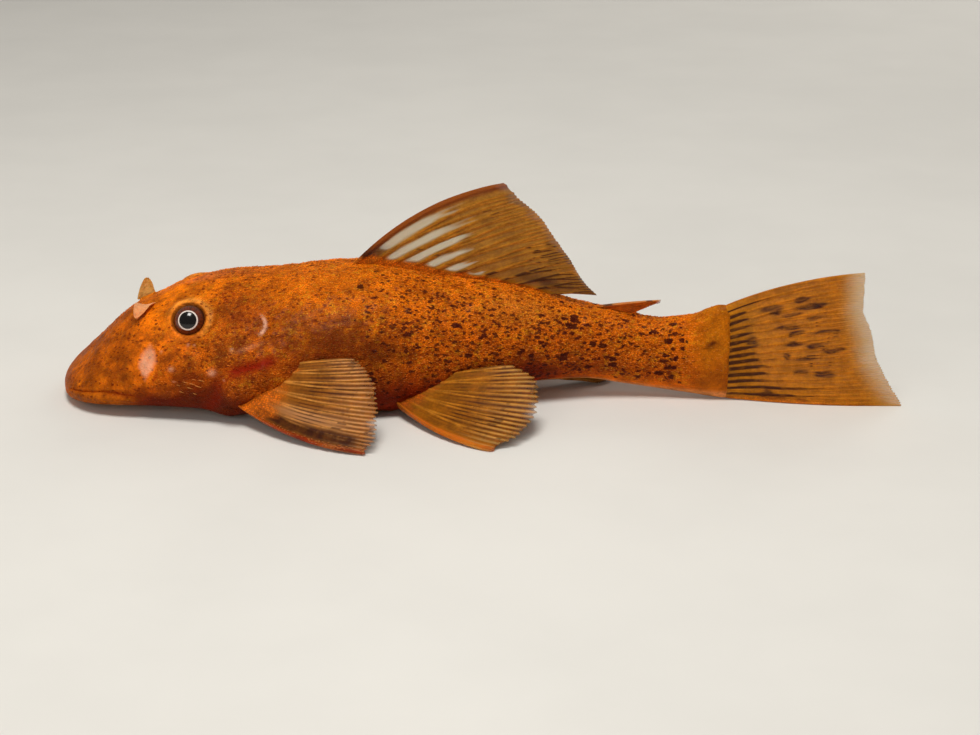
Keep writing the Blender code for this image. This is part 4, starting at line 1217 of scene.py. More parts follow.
@dataclass
class SkinSurface:
    """The skin's grid with what its finish reads at each point."""

    points: Array
    x: Array
    degrees: Array
    angle: Array
    edge: Array
    tint: Array = field(default_factory=lambda: np.zeros(0))
    masks: dict[str, Array] = field(default_factory=dict)

    def paint(self, skin: Skin, from_eye: Array) -> None:
        """Lays each tint over the last with a smooth mask, painted shade and a painted highlight among them, and works
        out the masks of the markings.

        Args:
            skin: Holds the tints.
            from_eye: Distance from the nearer eye's axis in millimetres.
        """
        broad = lattice_noise(self.points, 4.0 * MM, 21) - 0.5
        small = lattice_noise(self.points, 1.3 * MM, 22) - 0.5
        x = self.x + 1.6 * broad + 0.8 * small
        a = self.degrees + 12.0 * broad + 7.0 * small
        on_head = 1.0 - smooth_step(x, -11.0, -7.5)
        self.tint = np.ones(x.shape + (3,)) * np.array(skin.flank_tint)
        self.lay(skin.crown_tint, smooth_step(a, 16.0, 56.0))
        self.lay(skin.stalk_tint, 0.8 * smooth_step(x, 22.0, 31.0))
        self.lay(skin.tail_tint, smooth_step(x, 37.5, 41.0))
        # painted shade: darkens the lower flank from the widest point down, less on the tail
        self.lay(skin.lower_flank_shade_tint, (1.0 - smooth_step(a, -18.0, 14.0)) * (1.0 - 0.65 * smooth_step(x, 20.0, 31.0)))
        self.lay(skin.pale_tint, 0.9 * hump(x, 19.5, 4.5) * hump(a, 52.0, 17.0))
        grainy = 0.55 + 0.9 * lattice_noise(self.points, 0.6 * MM, 23)
        self.lay(skin.shade_tint, 0.66 * grainy * hump(x + 0.12 * (a - 28.0), -1.6, 6.0) * hump(a, 28.0, 14.0))
        self.lay(skin.shade_tint, 0.6 * grainy * hump(x, 3.5, 4.0) * hump(a, 14.0, 9.0))
        # painted shadow between the pectoral fin and the flank above it
        self.lay(skin.crease_shade_tint, 0.95 * hump(x, -3.2, 3.8) * hump(a, 13.0, 8.5))
        self.lay(skin.cheek_tint, 0.8 * on_head * hump(a, 30.0, 30.0))
        self.lay(skin.temple_tint, 0.75 * hump(x, -11.4, 2.3) * hump(a, 48.0, 13.0))
        self.lay(skin.cover_tint, 0.7 * hump(x, -12.6, 2.6) * hump(a, 25.0, 8.0))
        self.lay(skin.snout_tint, 0.9 * (1.0 - smooth_step(x, -26.5, -21.0)))
        self.lay(skin.muzzle_tint, 0.8 * hump(x, -29.5, 2.2) * hump(a, 22.0, 14.0))
        self.lay(skin.lip_tint, 0.9 * (1.0 - smooth_step(self.degrees, skin.pad_line(self.x) - 3.0,
                                                         skin.pad_line(self.x))) * skin.pad_span(self.x))
        # painted shade under the head, down to the floor
        self.lay(skin.throat_shade_tint, (1.0 - smooth_step(a, -12.0, 4.0)) * on_head * smooth_step(x, -26.0, -21.0))
        # painted shade under the cheek
        self.lay(skin.crease_shade_tint, 0.85 * hump(x, -17.2, 2.7) * hump(a, 7.0, 8.0))
        # painted shade in front of the pectoral fin's fleshy root and under the gill cover
        front = hump(self.x + 14.6 - 0.05 * self.degrees, 0.0, 0.8) * hump(self.degrees, 0.0, 16.0)
        under = hump(self.degrees + 14.0, 0.0, 7.0) * hump(self.x, -12.0, 2.6)
        self.lay(skin.throat_shade_tint, 0.85 * np.maximum(front, under))
        self.lay(skin.muscle_tint, 0.9 * hump(self.x, -10.9, 2.2) * hump(self.degrees, 3.0, 8.5))
        self.lay(skin.dash_tint, 0.9 * hump(self.x, 40.8, 0.55) * hump(self.degrees - 1.9 * (self.x - 40.8), 17.0, 2.6)
                 * (np.cos(self.angle) < 0))
        self.lay(skin.belly_tint, 1.0 - smooth_step(self.degrees, -62.0, -46.0))
        self.lay(skin.crest_tint, 0.6 * smooth_step(a, 74.0, 88.0) * hump(x, -18.0, 7.0))
        # the rim's own paler tone all round, strengthened into a painted highlight on its top and rear
        rear_top = smooth_step(self.degrees - 49.0 + 5.0 * (self.x + 17.7), -14.0, 10.0)
        self.lay(skin.rim_tone_and_highlight_tint, (0.1 + 0.75 * rear_top) * hump(from_eye, 2.4, 0.42))
        # painted shade in the socket round the eyeball
        self.lay(skin.socket_shade_tint, 0.9 * (1.0 - smooth_step(from_eye, 1.9, 2.12)))
        cloud = 0.9 * lattice_noise(self.points, 1.7 * MM, 24) + 0.7 * lattice_noise(self.points, 0.8 * MM, 25) - 0.8
        cloud = np.minimum(cloud, 0.12) - 0.1
        self.tint *= np.exp((1.0 - smooth_step(x, -12.0, -6.0)) * cloud)[..., None]
        self.tint *= (1.0 - 0.2 * self.edge)[..., None]
        self.mark(skin, from_eye)

    def lay(self, colour: Colour, mask: Array) -> None:
        """Mixes a colour into the tint by the mask."""
        weight = np.clip(mask, 0.0, 1.0)[..., None]
        self.tint = self.tint * (1.0 - weight) + np.array(colour) * weight

    def mark(self, skin: Skin, from_eye: Array) -> None:
        """Works out where the spots, flecks, clouds, grain, pink marks, red marks and the painted shade of the gill and
        lip grooves are.

        Args:
            skin: Holds the lines of the head.
            from_eye: Distance from the nearer eye's axis in millimetres.
        """
        x, a = self.x, self.degrees
        flank = smooth_step(a, -50.0, -26.0) * (1.0 - 0.8 * smooth_step(a, 50.0, 80.0))
        calm = 1.0 - 0.85 * hump(x, 19.5, 5.0) * hump(a, 56.0, 17.0)
        stalk_end = 1.0 - smooth_step(x, 36.6, 38.4)
        behind = smooth_step(x, -1.0, 9.0)
        bare = hump(from_eye, 1.6, 0.7)
        granular = smooth_step(a, -50.0, -25.0) * (1.0 - 0.5 * smooth_step(x, 36.0, 41.0)) * (1.0 - bare)
        head = 1.0 - smooth_step(x, -9.0, -4.0)
        self.masks = {
            "spotted": (0.75 * smooth_step(x, 12.0, 26.0) + 0.22 * behind) * flank * calm * stalk_end,
            "flecked": (1.1 * behind - 0.6 * smooth_step(x, 22.0, 33.0)) * flank * calm * stalk_end,
            "freckled": (0.35 + 0.5 * behind + 0.3 * hump(x, -12.0, 4.0)) * smooth_step(a, -45.0, -20.0) * stalk_end,
            "murky": (0.35 + 0.2 * head * hump(a, 30.0, 30.0) + 0.4 * hump(x, -1.0, 9.0) * hump(a, 25.0, 16.0))
            * (1.0 - bare) * (1.0 - smooth_step(x, 34.0, 39.0)),
            "granular": granular * (0.4 + 0.6 * smooth_step(x - 0.05 * (a - 20.0), -24.0, -13.0)),
            "bright": smooth_step(self.tint[..., 0], 0.25, 0.75) * (1.0 - 0.35 * head),
            "pink": self.pink_marks(),
            "red": self.red_marks_and_groove_shade(skin),
        }
        self.masks = {name: np.clip(mask, 0, 1) for name, mask in self.masks.items()}

    def pink_marks(self) -> Array:
        """The pale oval on the snout's side, the crescent behind the eye and small bumps, fainter on the right."""
        x, a = self.x, self.degrees
        ragged = lattice_noise(self.points, 0.5 * MM, 31) - 0.5
        wide = 1.08 * (0.35 + 0.65 * smooth_step(a, 7.0, 24.0))
        away = np.hypot((x + 22.2 - 0.012 * (a - 22.0)) / wide, (a - 22.5) / 14.0) + 0.45 * ragged
        oval = (1.0 - smooth_step(away, 0.45, 1.1)) * (0.85 + 0.5 * ragged)
        bow = x + 9.0 + 0.012 * (a - 41.0) ** 2
        crescent = smooth_step(0.3 - np.abs(bow), 0.0, 0.2) * smooth_step(8.0 - np.abs(a - 41.0), 0.0, 4.0)
        crescent *= 0.7 + 0.6 * (1.0 - smooth_step(a, 34.5, 38.5))
        dots = ((-14.8, 11.8, 0.4, 0.8), (-19.4, 16.5, 0.3, 0.6), (-19.1, 6.0, 0.14, 0.5), (-17.6, 32.5, 0.16, 0.7),
                (-16.9, 31.8, 0.12, 0.5), (-20.6, 30.0, 0.16, 0.4), (-12.6, 26.0, 0.2, 0.6), (-13.4, 6.0, 0.12, 0.4))
        bumps = sum(strength * hump(x, at, size) * hump(a, angle, size * 5.2) for at, angle, size, strength in dots)
        cover_edge = 0.18 * hump(a - 24.5 - 1.5 * (x + 12.0), 0.0, 1.4) * hump(x, -10.8, 1.3)
        marks = 0.68 * oval + crescent + 0.65 * bumps + cover_edge
        return np.where(np.cos(self.angle) < 0, 1.0, 0.75) * marks

    def red_marks_and_groove_shade(self, skin: Skin) -> Array:
        """Red marks: the fold in front of the fin's base, the line under the pale oval and a pore, with painted shadow
        along the gill slit's groove and the groove between snout and lip.
        """
        x, a = self.x, self.degrees
        # painted shadow along the gill slit's groove, between the gill cover and the pectoral fin's base
        slit = hump(a - skin.slit_line(x), 0.0, 4.2) * smooth_step(x, -13.8, -12.2) * (1.0 - smooth_step(x, -8.6, -7.0))
        pore = 0.5 * hump(np.hypot(x + 13.4, 0.17 * (a - 62.8)), 0.62, 0.16)
        fold = 0.5 * hump(x, -14.0 + 0.05 * a, 0.7) * smooth_step(a, -40.0, -25.0) * (1.0 - smooth_step(a, 2.0, 12.0))
        stroke = 0.7 * hump(x + 21.4 - 0.06 * (a - 8.0), 0.0, 0.22) * hump(a, 10.0, 5.0)
        # painted shade in the groove between snout and lip
        lip = 0.55 * hump(a - skin.pad_line(x), 0.0, 1.6) * skin.pad_span(x)
        return slit + fold + stroke + lip + pore

    def normals(self) -> Array:
        """Outward normals: the cross product of the grid's two slopes, turned away from the section's middle."""
        along = np.gradient(self.points, axis=0)
        around = np.roll(self.points, -1, axis=1) - np.roll(self.points, 1, axis=1)
        normal = unit(np.cross(around, along))
        outward = self.points - self.points.mean(axis=1, keepdims=True)
        return normal * np.where(np.sum(normal * outward, axis=-1) < 0, -1.0, 1.0)[..., None]

    def make(self, material: bpy.types.Material) -> bpy.types.Object:
        """Makes the skin's mesh, closed by a point at the snout and one inside the tail fin.

        Args:
            material: The skin's finish.

        Returns:
            The piece.
        """
        piece = make_closed("skin", self.points, self.points[[0, -1]].mean(axis=1))
        tint = self.tint.reshape(-1, 3)
        store(piece, "tint", np.concatenate([tint, tint[[0, -1]]]))
        for name, mask in self.masks.items():
            flat = mask.ravel()
            store(piece, name, np.concatenate([flat, flat[[0, -1]]]))
        return dress(piece, material, Slot.SKIN, "head", "torso", "tail_stalk")


@dataclass
class Eyeball:
    """A sphere about the gaze, with a low cornea, whose front carries pupil, ring and iris."""

    place: EyePlace
    body: BodyShape
    rows: int = 60
    columns: int = 72
    cornea_rise: float = 0.1 * MM
    front_turn: float = 66.0

    def make(self, material: bpy.types.Material) -> bpy.types.Object:
        """Makes the eyeball: radius + cornea_rise·(1 - share²)² about the gaze.

        Args:
            material: The eye's finish.

        Returns:
            The piece.
        """
        polar = np.linspace(0.0, math.pi, self.rows)[1:-1]
        turn = np.linspace(0.0, 2 * math.pi, self.columns, endpoint=False)
        polar, turn = np.meshgrid(polar, turn, indexing="ij")
        share = polar / math.radians(self.front_turn)
        radius = self.place.radius + self.cornea_rise * np.maximum(1.0 - share**2, 0.0) ** 2
        axis = np.array(self.place.gaze())
        across = unit(np.cross(axis, np.array([0.0, 0.0, 1.0])))
        upward = np.cross(across, axis)
        direction = (
            np.cos(polar)[..., None] * axis
            + (np.sin(polar) * np.cos(turn))[..., None] * across
            + (np.sin(polar) * np.sin(turn))[..., None] * upward
        )
        centre = np.array(self.place.centre(self.body))
        poles = np.stack([centre + axis * (self.place.radius + self.cornea_rise), centre - axis * self.place.radius])
        name = f"eye_{self.place.side.name.lower()}_ball"
        piece = make_closed(name, centre + radius[..., None] * direction, poles)
        eye_map = np.stack([share, turn, np.zeros_like(turn)], axis=-1).reshape(-1, 3)
        store(piece, "eye_map", np.concatenate([eye_map, [[0, 0, 0], [3, 0, 0]]]))
        return dress(piece, material, Slot.EYE, f"eye_{self.place.side.name.lower()}")


@dataclass
class SolidSheet:
    """A thin closed solid about a grid of centre points, front and back joined by a rim."""

    centre: Array
    half: Array

    def normal(self) -> Array:
        """Unit normals of the centre grid."""
        return unit(np.cross(np.gradient(self.centre, axis=0), np.gradient(self.centre, axis=1)))

    def make(self, name: str) -> bpy.types.Object:
        """Makes the mesh, with no point below the floor.

        Args:
            name: The piece's name.

        Returns:
            The object, front points first and then the back ones.
        """
        offset = self.normal() * self.half[..., None]
        points = np.stack([self.centre + offset, self.centre - offset])
        points[..., 2] = np.maximum(points[..., 2], 0.0)
        rows, columns = self.half.shape
        count = rows * columns
        front = grid_faces(rows, columns, closed=False)
        index = np.arange(count).reshape(rows, columns)
        rim = np.concatenate([index[0, :-1], index[:-1, -1], index[-1, :0:-1], index[:0:-1, 0]])
        after = np.roll(rim, -1)
        walls = np.stack([after, rim, rim + count, after + count], axis=1)
        quads = np.concatenate([front[:, ::-1], front + count, walls[:, ::-1]])
        return make_object(name, points.reshape(-1, 3), quads)


@dataclass
class RayFan:
    """Rays as quadratic curves, each with a root, a bow and a tip, and the surface through them."""

    roots: Array
    bows: Array
    tips: Array

    def centre(self, across: Array, along: Array) -> Array:
        """(1-v)²·root + 2v(1-v)·bow + v²·tip, with the three read between rays at u.

        Args:
            across: u, where a whole number is a ray.
            along: v, from 0 at the root to 1 at the tip.

        Returns:
            Points of the fan.
        """
        knots = np.arange(len(self.tips))
        held = np.clip(across, 0, knots[-1])
        beyond = (across - held)[..., None]
        root, bow, tip = (
            smooth_curve(held, knots, values) + beyond * (values[1] - values[0])
            for values in (self.roots, self.bows, self.tips)
        )
        share = along[..., None]
        return (1 - share) ** 2 * root + 2 * share * (1 - share) * bow + share**2 * tip


@dataclass
class Fin:
    """A rayed fin: ridged, twice forking rays in a thin web, with the masks that its finish reads."""

    name: str
    fan: RayFan
    finish: FinFinish
    root_share: float = -0.05
    spined: bool = True
    per_ray: int = 26
    rows: int = 90
    web_half: float = 0.09 * MM
    ray_half: float = 0.24 * MM
    spine_half: float = 0.55 * MM
    leading_edge: float = -0.12
    fork_start: float = 0.16
    twig_start: float = 0.45
    tip_notch: float = 0.03
    frayed: float = 0.75
    fray_reach: float = 0.12
    flesh_reach: float = 0.12
    swell: float = 0.0
    swell_share: float = 0.3
    ripple: float = 0.1 * MM
    seed: int = 5

    def grid(self) -> tuple[Array, Array]:
        """u across the rays and v along them; v stops short between the twigs' tips, unevenly."""
        count = len(self.fan.tips)
        start = self.leading_edge if self.spined else 0.0
        across = np.linspace(start, count - 1, int(self.per_ray * (count - 1 - start)) + 1)
        twigs = self.ridges(across, np.ones(across.shape))
        jag = lattice_noise(np.stack([across * 3.0, across * 0, across * 0], axis=-1), 1.0, self.seed)
        reach = 1.0 - self.tip_notch * (0.6 * (1.0 - twigs) + 0.7 * jag)
        share = np.linspace(self.root_share, 1.0, self.rows)[:, None]
        along = np.where(share > 0, share * reach, share)
        return np.broadcast_to(across, along.shape), along

    def ridges(self, across: Array, along: Array) -> Array:
        """1 on a ray's crest and 0 on the web; each ray forks once, and each branch again, towards its tip.

        Args:
            across: u of the grid.
            along: v of the grid.

        Returns:
            exp(-((|d - first fork| - second fork) / width)²) for the distance d from the nearest ray.
        """
        distance = np.abs(across - np.round(across))
        fork = 0.25 * smooth_step(along, self.fork_start, 0.8)
        twig = 0.125 * smooth_step(along, self.twig_start, 1.0)
        leading = (np.round(across) < 0.5) & self.spined
        fork, twig = np.where(leading, 0.0, fork), np.where(leading, 0.0, twig)
        width = np.where(leading, 0.15, 0.13 - 0.08 * smooth_step(along, self.fork_start, 0.75))
        return np.exp(-(((np.abs(distance - fork) - twig) / width) ** 2))

    def thickness(self, across: Array, along: Array, ridge: Array) -> Array:
        """Half thickness: the web's, plus the ray's or spine's share of the ridge, plus the fleshy root.

        Args:
            across: u of the grid.
            along: v of the grid.
            ridge: The ridges.

        Returns:
            Half thickness in metres.
        """
        held = np.clip(along, 0, 1)
        leading = (across < 0.5) & self.spined
        crest = np.where(leading, self.spine_half, self.ray_half)
        taper = 1.0 - np.where(leading, 0.6, 0.55) * held
        flesh = self.swell * np.maximum(1.0 - held / self.swell_share, 0.0) ** 1.3
        edge = 1.0 - 0.75 * smooth_step(np.abs(np.minimum(across, 0)), 0.0, abs(self.leading_edge))
        shown = smooth_step(held, 0.0, self.flesh_reach)
        web = self.web_half * (1.0 - 0.45 * held)
        return (web + (crest - self.web_half) * ridge * taper * shown) * edge + flesh

    def masks(self, across: Array, along: Array, reach: Array) -> dict[str, Array]:
        """Where the fin is windowed, dashed, barred, smoky and fleshy; kinds of fin add their own.

        Args:
            across: u of the grid.
            along: v of the grid.
            reach: Distance from the root in millimetres.

        Returns:
            Masks by name.
        """
        none = np.zeros(across.shape)
        wander = lattice_noise(np.stack([across * 2.5, reach * 0.8, none], axis=-1), 1.0, self.seed) - 0.5
        limit = self.flesh_reach * (1.0 + 0.7 * wander)
        return {
            "window": none,
            "barred": none,
            "smoky": none,
            "dashed": 0.35 + none,
            "edge": (1.0 - smooth_step(across, 0.05, 0.32)) * (self.spined * (0.95 + 0.9 * wander)),
            "flesh": 1.0 - smooth_step(along, 0.5 * limit, 1.1 * limit),
        }

    def make(self, effects: SharedEffects) -> bpy.types.Object:
        """Makes the fin and gives it its finish.

        Args:
            effects: The shared node groups.

        Returns:
            The piece.
        """
        across, along = self.grid()
        centre = self.place(self.fan.centre(across, along))
        steps = np.linalg.norm(np.diff(centre, axis=0), axis=-1) / MM
        reach = np.concatenate([np.zeros((1, across.shape[1])), np.cumsum(steps, axis=0)])
        reach += self.root_share * reach[-1] / (1.0 - self.root_share)
        ridge = self.ridges(across, along)
        half = self.thickness(across, along, ridge)
        wave = lattice_noise(centre, 3.2 * MM, self.seed) - 0.5
        sheet = SolidSheet(centre, half)
        sheet.centre = centre + sheet.normal() * (2 * self.ripple * wave * smooth_step(along, 0.2, 0.9))[..., None]
        piece = sheet.make(f"{self.name}_web")
        faces = [np.stack([across, reach, np.full(across.shape, side)], axis=-1) for side in (0.0, 7.0)]
        store(piece, "ray_map", np.concatenate(faces).reshape(-1, 3))
        masks = self.masks(across, along, reach)
        uneven = lattice_noise(np.stack([across * 4.0, reach * 0.7, across * 0], axis=-1), 1.0, self.seed + 1)
        masks["ray"] = ridge * (0.5 + 0.7 * uneven)
        lost = smooth_step(along + 0.05 * (uneven - 0.5), 1.0 - self.fray_reach, 1.0)
        masks["fray"] = self.frayed * (1.0 - 0.25 * ridge) * lost
        for name, mask in masks.items():
            store(piece, name, np.tile(np.clip(mask, 0, 1).ravel(), 2))
        return dress(piece, self.finish.make(effects), Slot.FIN, self.name)

    def place(self, centre: Array) -> Array:
        """The fan's points where they stand; kinds of fin that follow the bent tail move them."""
        return centre


@dataclass
class DorsalFin(Fin):
    """The sail on the back: clear windows near the base of its front webs, dark dashes on the rear rays.

    Each window row gives the share of the ray's length where it begins and ends, and its strength.
    """

    windows: tuple[tuple[float, float, float], ...] = (
        (0.13, 0.68, 0.85), (0.055, 0.66, 0.95), (0.05, 0.64, 1.0), (0.06, 0.42, 1.0), (0.065, 0.28, 1.0),
        (0.07, 0.19, 0.85), (0.07, 0.1, 0.0), (0.07, 0.1, 0.0), (0.07, 0.1, 0.0), (0.07, 0.1, 0.0),
    )

    def masks(self, across: Array, along: Array, reach: Array) -> dict[str, Array]:
        """Adds the windows, one between each pair of rays, and dashes that thicken to the rear.

        Args:
            across: u of the grid.
            along: v of the grid.
            reach: Distance from the root in millimetres.

        Returns:
            Masks by name.
        """
        made = super().masks(across, along, reach)
        web = np.clip(np.floor(across), 0, len(self.windows) - 1).astype(int)
        start, end, strength = np.moveaxis(np.array(self.windows)[web], -1, 0)
        share = across - np.floor(across)
        off = np.abs(2.0 * share - 1.0)
        taper = 1.0 - 0.55 * smooth_step(along, start + 0.4 * (end - start), end)
        ragged = lattice_noise(np.stack([across * 6.0, reach * 0.5, across * 0], axis=-1), 1.0, 13) - 0.5
        middle = 1.0 - smooth_step(off + 0.25 * ragged, 0.34 * taper, 0.7 * taper)
        rounded = 0.03 * off**2
        begins = smooth_step(along - rounded, start, start + 0.03)
        ends = 1.0 - smooth_step(along + rounded + 0.18 * ragged, end - 0.4 * (end - start), end)
        made["window"] = middle * begins * ends * strength * (across > 0)
        made["dashed"] = 0.2 + 0.55 * smooth_step(across, 3.5, 8.5)
        made["edge"] = 0.85 * (1.0 - smooth_step(across, 0.08, 0.4))
        made["dashed"] = made["dashed"] * smooth_step(across, 0.8, 1.0) - (across < 0.8)
        front = 0.92 * (1.0 - smooth_step(across, 0.5, 1.2)) * (1.0 - smooth_step(reach, 1.8, 4.6))
        made["smoky"] = front + 0.8 * hump(across, 8.2, 1.4) * hump(reach, 3.0, 1.5)
        return made


@dataclass
class CaudalFin(Fin):
    """The tail fin: dark bars on the rays from the base, blotches beyond, clear at the trailing edge.

    Bar lengths are in millimetres from the lowest ray to the highest. A blotch is a place across the rays,
    a share of their length, and its half width in rays and in millimetres along them.
    """

    body: BodyShape = field(default_factory=BodyShape)
    bar_lengths: tuple[float, ...] = (0.0, 10.6, 11.4, 6.2, 5.9, 5.6, 5.0, 4.4, 3.6, 3.5, 3.4, 3.0, 3.0, 3.1, 6.0, 0.0)
    bar_widths: tuple[float, ...] = (0.1, 0.22, 0.24, 0.3, 0.34, 0.36, 0.36, 0.36, 0.36, 0.34, 0.32, 0.3, 0.3, 0.3, 0.14, 0.1)
    blotches: tuple[tuple[float, float, float, float], ...] = (
        (12.6, 0.34, 0.5, 0.8), (12.1, 0.37, 0.45, 0.6), (13.0, 0.57, 0.35, 0.5), (12.1, 0.64, 0.35, 1.1),
        (10.0, 0.47, 0.35, 1.0), (9.3, 0.52, 0.3, 0.5), (10.8, 0.66, 0.3, 0.6), (7.9, 0.5, 0.4, 0.7),
        (7.4, 0.62, 0.3, 0.8), (6.2, 0.43, 0.5, 0.4), (5.8, 0.55, 0.3, 0.7), (6.6, 0.72, 0.4, 0.9),
        (4.1, 0.5, 0.35, 0.5), (3.8, 0.63, 0.6, 0.8), (0.4, 0.33, 0.6, 0.7), (0.5, 0.46, 0.3, 0.5),
        (8.6, 0.2, 0.9, 0.45), (1.0, 0.27, 0.9, 0.5), (9.0, 0.72, 0.3, 0.9), (11.5, 0.5, 0.25, 0.7),
    )
    flesh_length: float = 0.26

    def place(self, centre: Array) -> Array:
        """Swings the fan with the bent tail."""
        moved = centre.copy()
        moved[..., 1] -= self.body.bend(centre[..., 0])
        return moved

    def thickness(self, across: Array, along: Array, ridge: Array) -> Array:
        """The plain fin's half thickness, plus flesh that starts as thick as the tail stalk's end.

        Args:
            across: u of the grid.
            along: v of the grid.
            ridge: The ridges.

        Returns:
            Half thickness in metres.
        """
        plain = super().thickness(across, along, ridge)
        half_width, top, bottom, middle, upper, lower = self.body.section(np.array(self.body.tail_base_x))
        z = self.fan.centre(across, np.zeros_like(across))[..., 2]
        power = np.where(z > middle, upper, lower)
        height = np.where(z > middle, top - middle, middle - bottom)
        share = np.clip(np.abs(z - middle) / height, 0, 1)
        root = half_width * (1 - share**power) ** (1 / power) * 0.95
        fade = np.maximum(1 - np.clip(along, 0, 1) / self.flesh_length, 0) ** 1.5
        return plain + np.maximum(root - plain, 0) * fade

    def masks(self, across: Array, along: Array, reach: Array) -> dict[str, Array]:
        """Adds the bars, which narrow towards their ends, the blotches and the pale rear edge.

        Args:
            across: u of the grid.
            along: v of the grid.
            reach: Distance from the root in millimetres.

        Returns:
            Masks by name.
        """
        made = super().masks(across, along, reach)
        number = np.clip(np.round(across), 0, len(self.bar_lengths) - 1).astype(int)
        length, width = np.array(self.bar_lengths)[number], np.array(self.bar_widths)[number]
        wander = lattice_noise(np.stack([across * 1.7, reach * 0.9, across * 0], axis=-1), 1.0, 8) - 0.5
        from_ray = np.abs(across - np.round(across) + 0.12 * wander)
        narrowing = width * (1.0 - 0.6 * smooth_step(reach, 0.45 * length, 1.05 * length))
        ends = 1.0 - smooth_step(reach + 3.0 * wander, 0.7 * length, 1.15 * length + 0.01)
        begins = smooth_step(reach + 1.2 * wander, 0.05, 0.75)
        blurred = 0.7 + 0.8 * lattice_noise(np.stack([across * 3.0, reach * 1.3, across * 0], axis=-1), 1.0, 10)
        made["barred"] = (1.0 - smooth_step(from_ray, 0.5 * narrowing, 1.3 * narrowing)) * begins * ends * (length > 0)
        made["barred"] = made["barred"] * np.clip(blurred, 0, 1)
        made["dashed"] = 0.35 * hump(along, 0.6, 0.25) * hump(across, 8.0, 6.0)
        full = reach[-1]
        spots = np.zeros(across.shape)
        drawn = lattice_noise(np.stack([across * 5.0, reach * 0.9, across * 0], axis=-1), 1.0, 9) - 0.5
        for ray, share, wide, long in self.blotches:
            spot = hump(across + 0.3 * wander, ray, wide) * hump(reach + 0.6 * wander, share * full, 1.7 * long)
            spots = np.maximum(spots, smooth_step(spot * (1.0 + 0.9 * drawn), 0.16, 0.72))
        made["smoky"] = 0.98 * spots * (0.62 + 0.38 * np.cos(across * 2 * math.pi + 5.0 * wander) ** 2)
        made["edge"] = 0.8 * smooth_step(along, 0.78, 0.98)
        made["flesh"] = np.maximum(1.0 - smooth_step(reach, 0.0, 0.35), 0.85 * (1.0 - smooth_step(across, 0.1, 0.9))
                                   * (1.0 - smooth_step(along, 0.3, 0.9)))
        made["window"] = 0.35 * smooth_step(along, 0.8, 1.0) * smooth_step(across, 1.0, 5.0)
        return made


@dataclass
class PairedFin(Fin):
    """A pectoral or pelvic fin on one side: a spine, rays that fork and a fleshy base."""

    side: Side = Side.LEFT
    smoke: float = 0.0

    def place(self, centre: Array) -> Array:
        """Sets points given by their distance to the left on this fin's side."""
        return centre * np.array([1.0, -self.side.value, 1.0])

    def masks(self, across: Array, along: Array, reach: Array) -> dict[str, Array]:
        """Adds a spine of its own colour, a dark band behind it and dark lines between the branches.

        Args:
            across: u of the grid.
            along: v of the grid.
            reach: Distance from the root in millimetres.

        Returns:
            Masks by name.
        """
        made = super().masks(across, along, reach)
        twig = np.cos(across * 4 * math.pi) ** 2
        lines = smooth_step(twig, 0.45, 0.9) * smooth_step(along, 0.3, 0.55) * (across > 0.5)
        wander = lattice_noise(np.stack([across * 1.4, reach * 0.5, across * 0], axis=-1), 1.0, self.seed) - 0.5
        strength = np.clip(0.5 + 1.2 * wander, 0.0, 0.85)
        held = smooth_step(along, 0.1, 0.26) * (1.0 - smooth_step(along, 0.85, 0.97))
        band = self.smoke * np.clip(1.35 * hump(across + 0.35 * wander, 0.6, 0.42), 0, 1) * held
        spots = smooth_step(lattice_noise(np.stack([across * 3.0, reach, across * 0], axis=-1), 1.0, 29), 0.6, 0.8)
        made["smoky"] = np.maximum(np.maximum(lines * strength, band), 0.55 * self.smoke * spots * (across < 0.5))
        made["dashed"] = 0.22 * smooth_step(along, 0.25, 0.6) - (across < 0.5)
        pale = smooth_step(1.0 - twig, 0.5, 0.9) * smooth_step(along, 0.6, 0.95)
        made["window"] = 0.5 * pale + 0.6 * hump(across, 1.6, 0.5) * hump(along, 0.55, 0.25) * self.smoke
        return made


